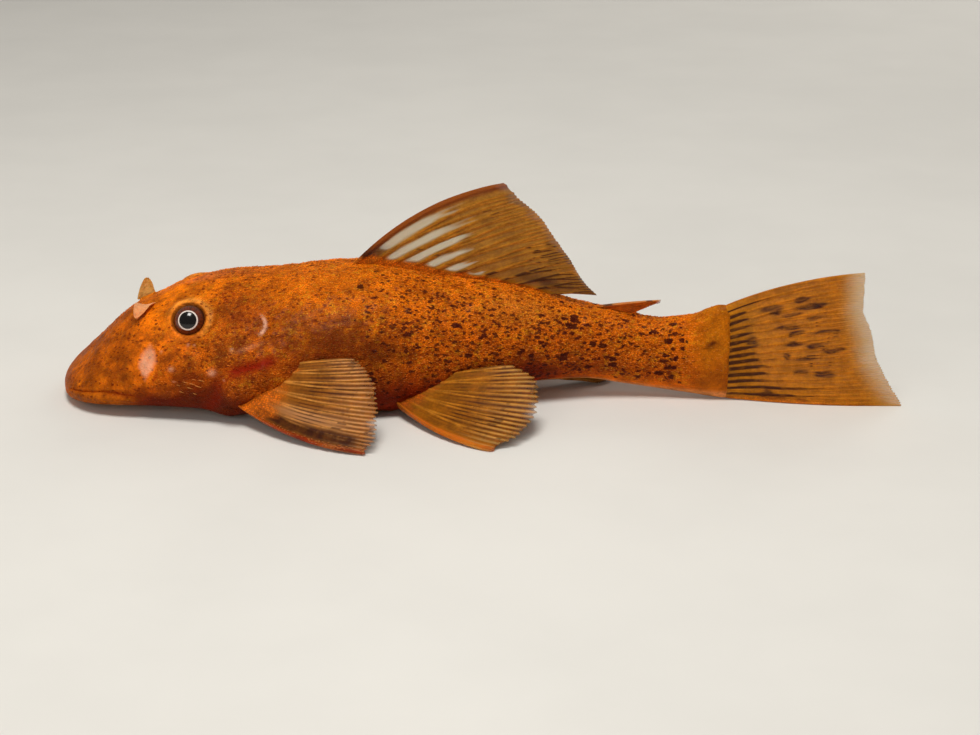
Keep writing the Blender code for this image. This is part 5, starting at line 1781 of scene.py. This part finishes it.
@dataclass
class NasalFlap:
    """The skin flap at a nostril: a cupped leaf on a root along the body, bluntly pointed.

    The left one has fallen outwards over the cheek, and the right one stands.
    """

    side: Side
    body: BodyShape
    x_mm: float = -22.95
    degrees: float = 71.0
    height: float = 2.7 * MM
    standing_share: float = 0.76
    width: float = 2.3 * MM
    root: float = 0.45 * MM
    half: float = 0.16 * MM
    cup: float = 0.35 * MM
    rows: int = 40
    columns: int = 28

    def make(self, material: bpy.types.Material) -> bpy.types.Object:
        """Makes the flap: width·(1 - 0.58·t)·√(1 - t⁵) across at the share t of its height, cupped as a parabola.

        The axis turns from the root's direction by a tilt that grows with t, away from the midline.

        Args:
            material: The bare skin's finish.

        Returns:
            The piece.
        """
        fallen = self.side is Side.LEFT
        up, across = np.meshgrid(
            np.linspace(0.0, 1.0, self.rows), np.linspace(-1.0, 1.0, self.columns), indexing="ij"
        )
        ragged = 0.12 * MM * (lattice_noise(np.stack([up * 4, across * 2, up * 0], -1), 1.0, 12) - 0.5)
        height = self.height * (1.0 if fallen else self.standing_share)
        spread = 0.5 * self.width * np.sqrt(1.0 - 0.97 * up**5) * (1.0 - 0.58 * up) + ragged
        steps = np.linspace(0.0, 1.0, self.rows)
        first, last = (62.0, 118.0) if fallen else (8.0, 30.0)
        tilt = np.radians(first + (last - first) * smooth_step(steps, 0.0, 0.6))
        pace = (height + self.root) / (self.rows - 1)
        out, rise = np.cumsum(np.sin(tilt)) * pace, np.cumsum(np.cos(tilt)) * pace
        start = int(self.root / pace)
        out, rise = out - out[start], rise - rise[start]
        cup = self.cup * (0.5 - across**2) * (1.0 - 0.4 * up)
        lean = (-0.3 if fallen else -0.02) * height * up
        x = across * spread + lean
        y = out[:, None] + cup * np.cos(tilt)[:, None]
        z = rise[:, None] - cup * np.sin(tilt)[:, None] + (0.25 * MM if fallen else 0.0)
        base = np.array(self.body.on_skin(self.x_mm if fallen else self.x_mm - 0.6, self.degrees, self.side))
        centre = base + np.stack([x, -self.side.value * y, z], axis=-1)
        thin = self.half * (1.0 - 0.5 * up) * np.sqrt(np.clip(1.05 - across**2, 0.02, 1.0))
        piece = SolidSheet(centre, thin).make(f"nasal_flap_{self.side.name.lower()}")
        blush = 0.4 + 0.6 * smooth_step(1.0 - up, 0.2, 0.9)
        store(piece, "blush", np.tile(blush.ravel(), 2))
        return dress(piece, material, Slot.SKIN)


@dataclass
class SuckerMouth:
    """The sucker mouth: a disc of papillate lip on the floor, with a barbel at each corner."""

    centre_x: float = -25.2 * MM
    half_length: float = 4.2 * MM
    half_width: float = 4.7 * MM
    barbel_reach: float = 0.28
    barbel_angle: float = 100.0
    barbel_spread: float = 7.5
    papilla: float = 0.1 * MM
    columns: int = 220
    profile: tuple[tuple[float, float, float, float], ...] = (
        (0.5, 1.15, 0.0, 1.0),
        (0.92, 1.15, 0.6, 1.0),
        (1.0, 0.66, 1.0, 1.0),
        (0.97, 0.16, 1.0, 1.0),
        (0.86, 0.05, 0.7, 1.0),
        (0.5, 0.05, 0.0, 0.6),
        (0.4, 0.35, 0.0, 0.55),
        (0.3, 0.75, 0.0, 0.55),
        (0.02, 0.8, 0.0, 0.55),
    )
    rings: int = 90

    def make(self, material: bpy.types.Material) -> bpy.types.Object:
        """Makes the lips: rings whose radius, height and barbels follow the profile, with papillae on them.

        Args:
            material: The lips' finish.

        Returns:
            The piece.
        """
        table = np.array(self.profile)
        knots = np.arange(len(table))
        share, height, barbels, roundness = np.moveaxis(
            smooth_curve(np.linspace(0, knots[-1], self.rings), knots, table), -1, 0
        )
        angle = np.linspace(0.0, 2 * math.pi, self.columns, endpoint=False)
        corner = math.radians(self.barbel_angle)
        from_corner = np.minimum(np.abs(angle - corner), np.abs(angle - 2 * math.pi + corner))
        barbel = self.barbel_reach * np.exp(-((from_corner / math.radians(self.barbel_spread)) ** 2))
        reach = share[:, None] + barbels[:, None] * barbel[None, :]
        x = self.centre_x + self.half_length * reach * roundness[:, None] * np.cos(angle)
        y = self.half_width * reach * np.sin(angle)
        z = np.broadcast_to(height[:, None] * MM, x.shape)
        points = np.stack([x, y, z], axis=-1)
        lumps = np.clip(lattice_noise(points, 0.42 * MM, 9) - 0.35, 0, 1) * 1.5
        under = (smooth_step(np.linspace(0, knots[-1], self.rings), 2.5, 4.0))[:, None]
        points[..., 2] = np.maximum(points[..., 2] + self.papilla * (0.5 - lumps) * under, 0.0)
        piece = make_closed("sucker_lips", points, points[[0, -1]].mean(axis=1))
        blush = np.broadcast_to((1.0 - smooth_step(share, 0.35, 0.6))[:, None], x.shape)
        store(piece, "blush", np.concatenate([blush.ravel(), [0.0, 1.0]]))
        return dress(piece, material, Slot.LIP, "lips")


@dataclass
class Cones:
    """Many curved cones in one mesh. At the share t a cone's axis is root + length·(t·ahead + t²·bend)."""

    root: Array
    ahead: Array
    bend: Array
    length: Array
    radius: Array
    sides: int = 4
    shares: tuple[float, ...] = (0.0, 0.55)

    def to_tip(self) -> Array:
        """How near its cone's tip each vertex is, from 0 to 1."""
        one = np.append(np.repeat(self.shares, self.sides), 1.0)
        return np.tile(one, len(self.root))

    def make(self, name: str) -> bpy.types.Object:
        """Makes the mesh: rings of radius·(1 - t²) and a tip for each cone, closed at the root.

        Args:
            name: The piece's name.

        Returns:
            The object, with each cone's rings and then its tip.
        """
        t = np.array([*self.shares, 1.0])[:, None]
        axis = self.root[:, None] + self.length[:, None, None] * (
            t * self.ahead[:, None] + t**2 * self.bend[:, None]
        )
        first = unit(np.cross(self.ahead, np.array([0.13, 0.0, 1.0])))[:, None, None]
        second = np.cross(first, self.ahead[:, None, None])
        turn = np.linspace(0, 2 * math.pi, self.sides, endpoint=False)[:, None]
        radius = (self.radius[:, None] * (1.0 - t[:-1, 0] ** 2))[..., None, None]
        rings = axis[:, :-1, None] + radius * (np.cos(turn) * first + np.sin(turn) * second)
        count, per_cone = len(self.root), len(self.shares) * self.sides + 1
        points = np.concatenate([rings.reshape(count, -1, 3), axis[:, -1:]], axis=1)
        points[..., 2] = np.maximum(points[..., 2], 0.0)
        ring = np.arange(self.sides)
        last = per_cone - 1 - self.sides
        tips = np.stack([last + ring, last + np.roll(ring, -1), np.full(self.sides, per_cone - 1)], axis=1)
        base = np.stack([ring[2:], ring[1:-1], np.zeros(self.sides - 2, int)], axis=1)
        start = per_cone * np.arange(count)[:, None, None]
        quads = grid_faces(len(self.shares), self.sides, closed=True) + start
        caps = np.concatenate([tips, base]) + start
        return make_object(name, points.reshape(-1, 3), quads.reshape(-1, 4), caps.reshape(-1, 3))


@dataclass
class CheekSpines:
    """The patch of longer odontodes at the rear of a cheek, standing out and back."""

    side: Side
    body: BodyShape
    count: int = 12
    x_mm: float = -17.9
    degrees: float = 4.0
    spread_mm: float = 1.9
    spread_degrees: float = 9.0
    length: float = 1.1 * MM
    radius: float = 0.085 * MM
    tint: Colour = (0.3, 0.05, 0.01)
    seed: int = 11

    def make(self, material: bpy.types.Material) -> bpy.types.Object:
        """Makes the spines of one cheek, longest in the middle of a round patch that they fill evenly.

        Args:
            material: The odontodes' finish.

        Returns:
            The piece.
        """
        draw = np.random.default_rng(self.seed)
        number = np.arange(self.count)
        reach = np.sqrt((number + 0.5) / self.count)
        turn = 2.4 * number
        x = (self.x_mm + self.spread_mm * reach * np.cos(turn)) * MM
        degrees = self.degrees + self.spread_degrees * reach * np.sin(turn)
        angle = np.radians(180.0 - degrees if self.side is Side.LEFT else degrees)
        root = self.body.point(x, angle, -0.1 * MM)
        outward = unit(self.body.point(x, angle, 1 * MM) - root)
        back = np.array([1.0, 0.0, -0.12])
        length = self.length * (1.2 - 0.6 * reach) * draw.uniform(0.8, 1.2, self.count)
        cones = Cones(root, 0.62 * outward + 0.38 * back, 0.57 * back + 0.0 * root, length,
                      np.full(self.count, self.radius), 8, tuple(np.linspace(0.0, 0.92, 8)))
        piece = cones.make(f"cheek_spines_{self.side.name.lower()}")
        to_tip = cones.to_tip()
        store(piece, "to_tip", to_tip)
        store(piece, "pale", 0.0 * to_tip + 0.6)
        store(piece, "tint", 0.0 * to_tip[:, None] + np.array(self.tint))
        return dress(piece, material, Slot.SKIN)


@dataclass
class SpinePrickles:
    """The short odontodes along the upper side of a pectoral fin's spine, longer towards its tip."""

    fin: PairedFin
    count: int = 90
    first_share: float = 0.2
    length: float = 0.42 * MM
    radius: float = 0.05 * MM
    tint: Colour = (0.34, 0.05, 0.01)
    seed: int = 37

    def make(self, material: bpy.types.Material) -> bpy.types.Object:
        """Makes the prickles, which lean towards the fin's tip and stand up off its face.

        Args:
            material: The odontodes' finish.

        Returns:
            The piece.
        """
        draw = np.random.default_rng(self.seed)
        along = draw.uniform(self.first_share, 0.97, self.count)
        across = draw.uniform(-0.06, 0.22, self.count)
        fan, place = self.fin.fan, self.fin.place
        root = place(fan.centre(across, along))
        ahead = unit(place(fan.centre(across, along + 0.02)) - root)
        sideways = unit(place(fan.centre(across + 0.05, along)) - root)
        up = unit(np.cross(ahead, sideways))
        up *= np.where(up[:, 2] < 0, -1.0, 1.0)[:, None]
        length = self.length * (0.5 + 0.8 * along) * draw.uniform(0.7, 1.3, self.count)
        lean = unit(0.6 * ahead + 0.75 * up + draw.uniform(-0.2, 0.35, self.count)[:, None] * sideways)
        root = root + 0.5 * self.fin.spine_half * (1.0 - 0.6 * along)[:, None] * up
        cones = Cones(root, lean, 0.3 * ahead, length, np.full(self.count, self.radius), 6, (0.0, 0.4, 0.75))
        piece = cones.make(f"spine_prickles_{self.fin.side.name.lower()}")
        to_tip = cones.to_tip()
        store(piece, "to_tip", to_tip)
        store(piece, "pale", 0.0 * to_tip + 0.5)
        store(piece, "tint", 0.0 * to_tip[:, None] + np.array(self.tint))
        return dress(piece, material, Slot.FIN)


@dataclass
class OdontodeCoat:
    """The fine odontodes of head and plates: small cones that lie back over the skin, longest on plate edges."""

    surface: SkinSurface
    count: int = 13500
    length: float = 0.24 * MM
    edge_length: float = 0.16 * MM
    radius: float = 0.046 * MM
    root_depth: float = 0.05 * MM
    lean: float = 58.0
    bend: float = 0.18
    patch: float = 0.003
    seed: int = 41

    def density(self) -> Array:
        """How close the odontodes stand: the skin's granular mask, thinner on the snout's bare margin."""
        margin = smooth_step(self.surface.x, -30.5, -27.0) * smooth_step(self.surface.degrees, -30.0, -5.0)
        return self.surface.masks["granular"] ** 2 * (0.15 + 0.85 * margin)

    def places(self) -> tuple[Array, Array]:
        """Draws grid cells by their area and density, in equal steps of the running sum.

        Returns:
            Row and column of each odontode, with fractions inside the cell.
        """
        points = self.surface.points
        along = np.diff(points, axis=0)
        around = (np.roll(points, -1, axis=1) - points)[:-1]
        weight = np.linalg.norm(np.cross(along, around), axis=-1) * self.density()[:-1]
        running = np.cumsum(weight.ravel())
        draw = np.random.default_rng(self.seed)
        chosen = np.searchsorted(running, (np.arange(self.count) + draw.random(self.count)) / self.count * running[-1])
        row, column = np.divmod(np.clip(chosen, 0, weight.size - 1), weight.shape[1])
        return row + draw.random(self.count), column + draw.random(self.count)

    def read(self, values: Array, row: Array, column: Array) -> Array:
        """Reads a grid between its points, with the columns running on round the section.

        Args:
            values: A number or a vector for each point.
            row: Row with its fraction.
            column: Column with its fraction.

        Returns:
            A value for each place.
        """
        low, left = row.astype(int), column.astype(int)
        right = (left + 1) % values.shape[1]
        up, over = row - low, column - left
        if values.ndim == 3:
            up, over = up[:, None], over[:, None]
        near = values[low, left] * (1.0 - over) + values[low, right] * over
        far = values[low + 1, left] * (1.0 - over) + values[low + 1, right] * over
        return near * (1.0 - up) + far * up

    def make(self, material: bpy.types.Material) -> bpy.types.Object:
        """Makes the coat in one mesh: each cone's axis leans back and bends further back to its tip.

        Args:
            material: The odontodes' finish.

        Returns:
            The piece.
        """
        surface = self.surface
        row, column = self.places()
        normal = unit(self.read(surface.normals(), row, column))
        root = self.read(surface.points, row, column) - self.root_depth * normal
        back = self.read(np.gradient(surface.points, axis=0), row, column)
        back = unit(back - np.sum(back * normal, axis=-1, keepdims=True) * normal)
        draw = np.random.default_rng(self.seed + 1)
        edge = self.read(surface.edge, row, column)
        length = (self.length + self.edge_length * edge + self.root_depth) * draw.uniform(0.7, 1.3, self.count)
        lean = np.radians(self.lean + draw.uniform(-9.0, 9.0, self.count))[:, None]
        ahead = np.cos(lean) * normal + np.sin(lean) * back
        radius = self.radius * draw.uniform(0.8, 1.25, self.count)
        cones = Cones(root, ahead, self.bend * (back - normal), length, radius)
        piece = cones.make("odontode_coat")
        self.keep(piece, cones, row, column)
        return dress(piece, material, Slot.SKIN)

    def keep(self, piece: bpy.types.Object, cones: Cones, row: Array, column: Array) -> None:
        """Keeps each root's tint and masks, each vertex's share of the length, and a patch of the skin's unwrap.

        Args:
            piece: The coat's mesh.
            cones: Its cones.
            row: Row of each root in the skin's grid.
            column: Column of each root.
        """
        to_tip = cones.to_tip()
        corners = len(to_tip) // self.count
        for name in ("spotted", "flecked", "freckled", "murky", "pink", "red"):
            store(piece, name, np.repeat(self.read(self.surface.masks[name], row, column), corners))
        store(piece, "tint", np.repeat(self.read(self.surface.tint, row, column), corners, axis=0))
        store(piece, "to_tip", to_tip)
        pale = np.random.default_rng(self.seed + 2).uniform(0.1, 0.8, self.count) ** 1.5
        pale *= 0.12 + 0.88 * self.read(self.surface.masks["bright"], row, column)
        store(piece, "pale", np.repeat(pale, corners))
        turn = 2 * math.pi * np.arange(len(to_tip)) / cones.sides
        spread = 0.5 * self.patch * (1.0 - to_tip) * np.stack([np.cos(turn), np.sin(turn)])
        at = np.stack([row / self.surface.x.shape[0], column / self.surface.x.shape[1]], axis=-1)
        unwrap = self.patch + (1.0 - 2.0 * self.patch) * np.repeat(at, corners, axis=0)
        store_uv(piece, "OFBake", unwrap + spread.T)


@dataclass
class Studio:
    """Pale floor, soft lights and the camera at the photograph's angle."""

    target: Vector = field(default_factory=lambda: Vector((15.76, 0.0, 2.507)) * MM)
    distance: float = 266.0 * MM
    elevation: float = 20.0
    lens: float = 85.0
    floor_reach: float = 1.6
    floor_steps: int = 24

    def build(self, effects: SharedEffects) -> None:
        """Makes the floor, the lights, the surrounding light and the camera."""
        self.make_floor(effects)
        self.light("key", (-0.02, -0.1, 0.36), 0.13, 1.05, (1.0, 0.97, 0.92), True)
        self.light("fill", (-0.16, -0.4, 0.18), 0.3, 0.5, (1.0, 0.96, 0.9), False)
        self.light("rim", (0.18, 0.32, 0.2), 0.2, 0.3, (1.0, 0.96, 0.9), False)
        self.surround()
        self.make_camera()

    def make_floor(self, effects: SharedEffects) -> None:
        """A level square grid just under the part."""
        line = np.linspace(-self.floor_reach, self.floor_reach, self.floor_steps)
        x, y = np.meshgrid(line, line, indexing="ij")
        points = np.stack([x, y, np.full(x.shape, -0.00002)], axis=-1)
        quads = grid_faces(self.floor_steps, self.floor_steps, closed=False)
        floor = make_object("floor", points.reshape(-1, 3), quads[:, ::-1], closed=False)
        floor.data.materials.append(FloorFinish().make(effects))

    def light(self, name: str, place: tuple[float, float, float], size: float, power: float, tone: Colour,
              mirrored: bool) -> None:
        """Adds a square area light aimed at the fish.

        Args:
            name: The light's name.
            place: Where it stands.
            size: Side of the square.
            power: Strength in watts.
            tone: Its colour.
            mirrored: Whether glossy surfaces show it.
        """
        lamp = bpy.data.lights.new(name, "AREA")
        lamp.size = size
        lamp.energy = power
        lamp.color = tone
        holder = bpy.data.objects.new(name, lamp)
        holder.location = place
        holder.visible_glossy = mirrored
        aim = Vector((0.01, 0.0, 0.006)) - Vector(place)
        holder.rotation_euler = aim.to_track_quat("-Z", "Y").to_euler()
        bpy.context.scene.collection.objects.link(holder)

    def surround(self) -> None:
        """A dim even light from all round."""
        world = bpy.data.worlds.new("studio")
        world.use_nodes = True
        shader = world.node_tree.nodes["Background"]
        shader.inputs["Color"].default_value = (1.0, 0.96, 0.88, 1.0)
        shader.inputs["Strength"].default_value = 0.22
        bpy.context.scene.world = world

    def make_camera(self) -> None:
        """Sets the camera on the fish's left, looking down a little."""
        lens = bpy.data.cameras.new("camera")
        lens.lens = self.lens
        lens.clip_start = 0.01
        lens.clip_end = 10.0
        holder = bpy.data.objects.new("camera", lens)
        up = math.radians(self.elevation)
        back = Vector((0.0, -math.cos(up), math.sin(up)))
        holder.location = self.target + back * self.distance
        holder.rotation_euler = (-back).to_track_quat("-Z", "Y").to_euler()
        bpy.context.scene.collection.objects.link(holder)
        bpy.context.scene.camera = holder


def rows_mm(rows: tuple) -> Array:
    """Rows of millimetres as an array in metres."""
    return np.array(rows, float) * MM


@dataclass
class FinPlans:
    """Roots, bows and tips of every fin's rays, in millimetres, as the solids have them."""

    body: BodyShape
    gap: float = 0.3
    dorsal_rays: tuple[float, ...] = (0.0, 0.55, 1.2, 1.88, 2.55, 3.2, 3.9, 4.6, 5.3, 6.1, 7.0)
    dorsal_drift: float = 0.5
    dorsal_root_x: tuple[float, ...] = (0.5, 3.6, 7.0, 10.6, 14.3, 17.6, 20.2, 22.3)
    dorsal_bow: tuple = (
        (8.0, 22.6), (11.2, 19.9), (13.9, 18.6), (16.4, 17.1), (19.1, 15.6), (21.4, 14.3), (23.3, 12.9), (25.2, 11.7),
    )
    dorsal_tip: tuple = (
        (17.7, 24.4), (19.6, 22.4), (21.2, 21.1), (22.5, 19.1), (24.0, 17.0), (25.1, 15.3), (26.3, 13.2), (27.9, 11.5),
    )
    adipose_root_x: tuple[float, ...] = (27.8, 29.2, 30.6, 32.0)
    adipose_tip: tuple = ((35.2, 11.15), (35.0, 10.85), (34.2, 10.5), (33.1, 9.95))
    anal_root_x: tuple[float, ...] = (18.8, 19.9, 21.0, 22.0, 22.9)
    anal_tip: tuple = ((29.6, -3.9), (30.2, -3.1), (30.0, -2.3), (29.2, -1.5), (28.2, -0.9))
    pectoral_root: tuple = ((-13.2, 9.6, 2.4), (-7.8, 10.4, 6.2))
    pectoral_muscle: tuple = ((-12.9, 11.4, 4.6), (-9.8, 11.2, 6.2))
    pectoral_bow: tuple = ((-6.4, 18.8, 0.6), (-4.0, 12.2, 8.0))
    pectoral_tips: tuple = (
        (2.7, 20.8, 0.25), (3.6, 20.0, 1.5), (3.8, 18.4, 2.8), (3.8, 16.8, 4.2), (3.5, 15.2, 5.9), (2.5, 13.6, 7.2),
        (0.8, 12.0, 8.0),
    )
    pelvic_root: tuple = ((4.4, 6.8, 1.5), (8.4, 7.2, 3.4))
    pelvic_bow: tuple = ((9.2, 16.8, 0.6), (13.4, 9.2, 5.9))
    pelvic_tips: tuple = (
        (16.3, 19.7, 0.25), (18.9, 18.2, 1.3), (20.5, 16.0, 2.3), (21.3, 13.8, 3.8), (21.0, 11.6, 5.3), (18.2, 9.4, 6.3),
    )
    caudal_rays: int = 16
    caudal_bow: float = 1.7 * MM
    caudal_trailing: tuple = (
        (0.0, 62.4, 0.0), (0.18, 60.6, 3.0), (0.36, 59.1, 6.0), (0.55, 58.4, 8.9), (0.75, 57.4, 11.7), (1.0, 57.4, 15.8),
    )

    def on_crown(self, root_x: tuple[float, ...]) -> Array:
        """Ray roots on the crown of the body, in metres."""
        x = rows_mm(root_x)
        return np.stack([x, np.zeros(len(x)), self.body.section(x)[1]], axis=-1)

    def dorsal(self) -> RayFan:
        """The dorsal fin's fan, leaning a little to the left at its tips, with its rays where the fin shows them.

        The rays stand at dorsal_rays of the surface, and their tips drift backwards along its edge.
        """
        bows = rows_mm(tuple((x, -0.32, z) for x, z in self.dorsal_bow))
        tips = rows_mm(tuple((x, -0.8, z) for x, z in self.dorsal_tip))
        knots = np.arange(len(tips))
        rays = np.array(self.dorsal_rays)
        drift = self.dorsal_drift * np.sin(math.pi * rays / rays[-1])
        roots = smooth_curve(rays, knots, self.on_crown(self.dorsal_root_x))
        return RayFan(
            roots, smooth_curve(rays + 0.5 * drift, knots, bows), smooth_curve(rays + drift, knots, tips)
        )

    def adipose(self) -> RayFan:
        """The adipose fin's fan, swung with the bent tail."""
        roots = self.on_crown(self.adipose_root_x)
        tips = rows_mm(tuple((x, 0.0, z) for x, z in self.adipose_tip))
        bows = (roots + tips) / 2 + np.array([0.0, 0.0, 0.15 * MM])
        fan = RayFan(roots, bows, tips)
        for points in (fan.roots, fan.bows, fan.tips):
            points[:, 1] -= self.body.bend(points[:, 0])
        return fan

    def anal(self) -> RayFan:
        """The anal fin's fan, folded back and to the right under the tail."""
        x = rows_mm(self.anal_root_x)
        roots = np.stack([x, np.zeros(len(x)), self.body.section(x)[2] - 0.3 * MM], axis=-1)
        tips = rows_mm(tuple((x, -side, 0.34) for x, side in self.anal_tip))
        return RayFan(roots, (roots + tips) / 2, tips)

    def spread(self, ends: tuple, count: int) -> Array:
        """Points from the first end to the second in equal steps, in metres."""
        first, last = rows_mm(ends)
        return first + (last - first) * np.linspace(0, 1, count)[:, None]

    def paired(self, root: tuple, bow: tuple, tips: tuple) -> RayFan:
        """A paired fin's fan, with distances to the left as its second coordinate."""
        count = len(tips)
        return RayFan(self.spread(root, count), self.spread(bow, count), rows_mm(tips))

    def caudal(self) -> RayFan:
        """The tail fin's fan before it is swung with the tail."""
        base = self.body.tail_base_x
        _, top, bottom, *_ = self.body.section(np.array(base))
        share = np.linspace(0, 1, self.caudal_rays)
        trailing = np.array(self.caudal_trailing)
        edge = smooth_curve(share, trailing[:, 0], trailing[:, 1:]) * MM
        level = np.zeros(self.caudal_rays)
        roots = np.stack([level + base, level, bottom + (top - bottom) * share], axis=-1)
        tips = np.stack([edge[:, 0], level, edge[:, 1]], axis=-1)
        bows = (roots + tips) / 2
        bows[:, 2] += self.caudal_bow * smooth_step(share, 0.5, 1.0)
        bows[0, 2] = 0.0
        return RayFan(roots, bows, tips)


def make_fins(body: BodyShape, effects: SharedEffects, prickles: bpy.types.Material) -> None:
    """Makes the eight fins, each with its own finish, and the pectoral spines' prickles.

    Args:
        body: The trunk that carries them.
        effects: The shared node groups.
        prickles: The odontodes' finish.
    """
    plans = FinPlans(body)
    amber = FinFinish("dorsal_amber", web=(0.38, 0.165, 0.01), ray=(0.4, 0.13, 0.008), edge=(0.22, 0.045, 0.005),
                      web_alpha=0.88)
    DorsalFin("dorsal_fin", plans.dorsal(), amber, flesh_reach=0.1, per_ray=20, leading_edge=-0.2,
              spine_half=0.3 * MM, tip_notch=0.01, frayed=0.32, fray_reach=0.12, seed=7).make(effects)
    orange = FinFinish("adipose_orange", web=(0.6, 0.12, 0.006), ray=(0.6, 0.1, 0.005), web_alpha=0.95)
    Fin("adipose_fin", plans.adipose(), orange, rows=40, root_share=-0.12, fork_start=2.0, twig_start=2.0,
        ripple=0.0, spine_half=0.4 * MM).make(effects)
    folded = FinFinish("anal_amber")
    Fin("anal_fin", plans.anal(), folded, rows=50, root_share=-0.03, spined=False).make(effects)
    tail = FinFinish("caudal_amber", web=(0.5, 0.17, 0.005), ray=(0.46, 0.14, 0.004), edge=(0.62, 0.3, 0.03),
                     streak=(0.2, 0.06, 0.004), streaked=0.45, web_alpha=0.88)
    CaudalFin("caudal_fin", plans.caudal(), tail, body=body, spined=False, per_ray=18, rows=120,
              root_share=-0.05, flesh_reach=0.05, ray_half=0.2 * MM, tip_notch=0.01, frayed=0.55,
              fray_reach=0.22).make(effects)
    olive = FinFinish("pectoral_amber", web=(0.27, 0.085, 0.006), ray=(0.55, 0.22, 0.035), edge=(0.38, 0.035, 0.003),
                      window=(0.68, 0.33, 0.14), flesh=(0.72, 0.15, 0.004), web_alpha=0.9, window_alpha=0.85)
    brown = FinFinish("pelvic_amber", web=(0.27, 0.085, 0.003), ray=(0.46, 0.165, 0.01), edge=(0.55, 0.13, 0.008),
                      window=(0.62, 0.36, 0.1), flesh=(0.5, 0.09, 0.002), web_alpha=0.9, window_alpha=0.7)
    for side in Side:
        word = side.name.lower()
        fan = plans.paired(plans.pectoral_root, plans.pectoral_bow, plans.pectoral_tips)
        pectoral = PairedFin(f"pectoral_fin_{word}", fan, olive, side=side, smoke=0.95, swell=1.1 * MM,
                             flesh_reach=0.36, root_share=-0.1, ray_half=0.19 * MM, seed=17)
        pectoral.make(effects)
        SpinePrickles(pectoral).make(prickles)
        fan = plans.paired(plans.pelvic_root, plans.pelvic_bow, plans.pelvic_tips)
        PairedFin(f"pelvic_fin_{word}", fan, brown, side=side, swell=0.9 * MM, flesh_reach=0.25,
                  root_share=-0.1, ray_half=0.19 * MM, seed=23).make(effects)


def main() -> None:
    """Builds the studio and then every piece of the fish."""
    logging.basicConfig(level=logging.INFO, format="%(name)s %(message)s")
    effects = SharedEffects()
    Studio().build(effects)
    bpy.context.scene.view_settings.view_transform = "Standard"
    body = BodyShape()
    eyes = (EyePlace(Side.LEFT), EyePlace(Side.RIGHT))
    surface = Skin(body, eyes).build()
    orange = SkinFinish()
    surface.make(orange.make(effects))
    spine_material = PrickleFinish().make(effects, orange)
    OdontodeCoat(surface).make(spine_material)
    eye_material = EyeFinish().make()
    for eye in eyes:
        Eyeball(eye, body).make(eye_material)
    flap_materials = {
        Side.LEFT: SoftFinish("nasal_skin_left", (0.6, 0.19, 0.05), (0.8, 0.36, 0.16)).make(effects),
        Side.RIGHT: SoftFinish("nasal_skin_right", (0.4, 0.15, 0.02), (0.55, 0.28, 0.07)).make(effects),
    }
    for side in Side:
        NasalFlap(side, body).make(flap_materials[side])
        CheekSpines(side, body).make(spine_material)
    SuckerMouth().make(SoftFinish("lip_skin", (0.75, 0.42, 0.26), (0.7, 0.22, 0.14)).make(effects))
    make_fins(body, effects, spine_material)


if __name__ == "__main__":
    main()
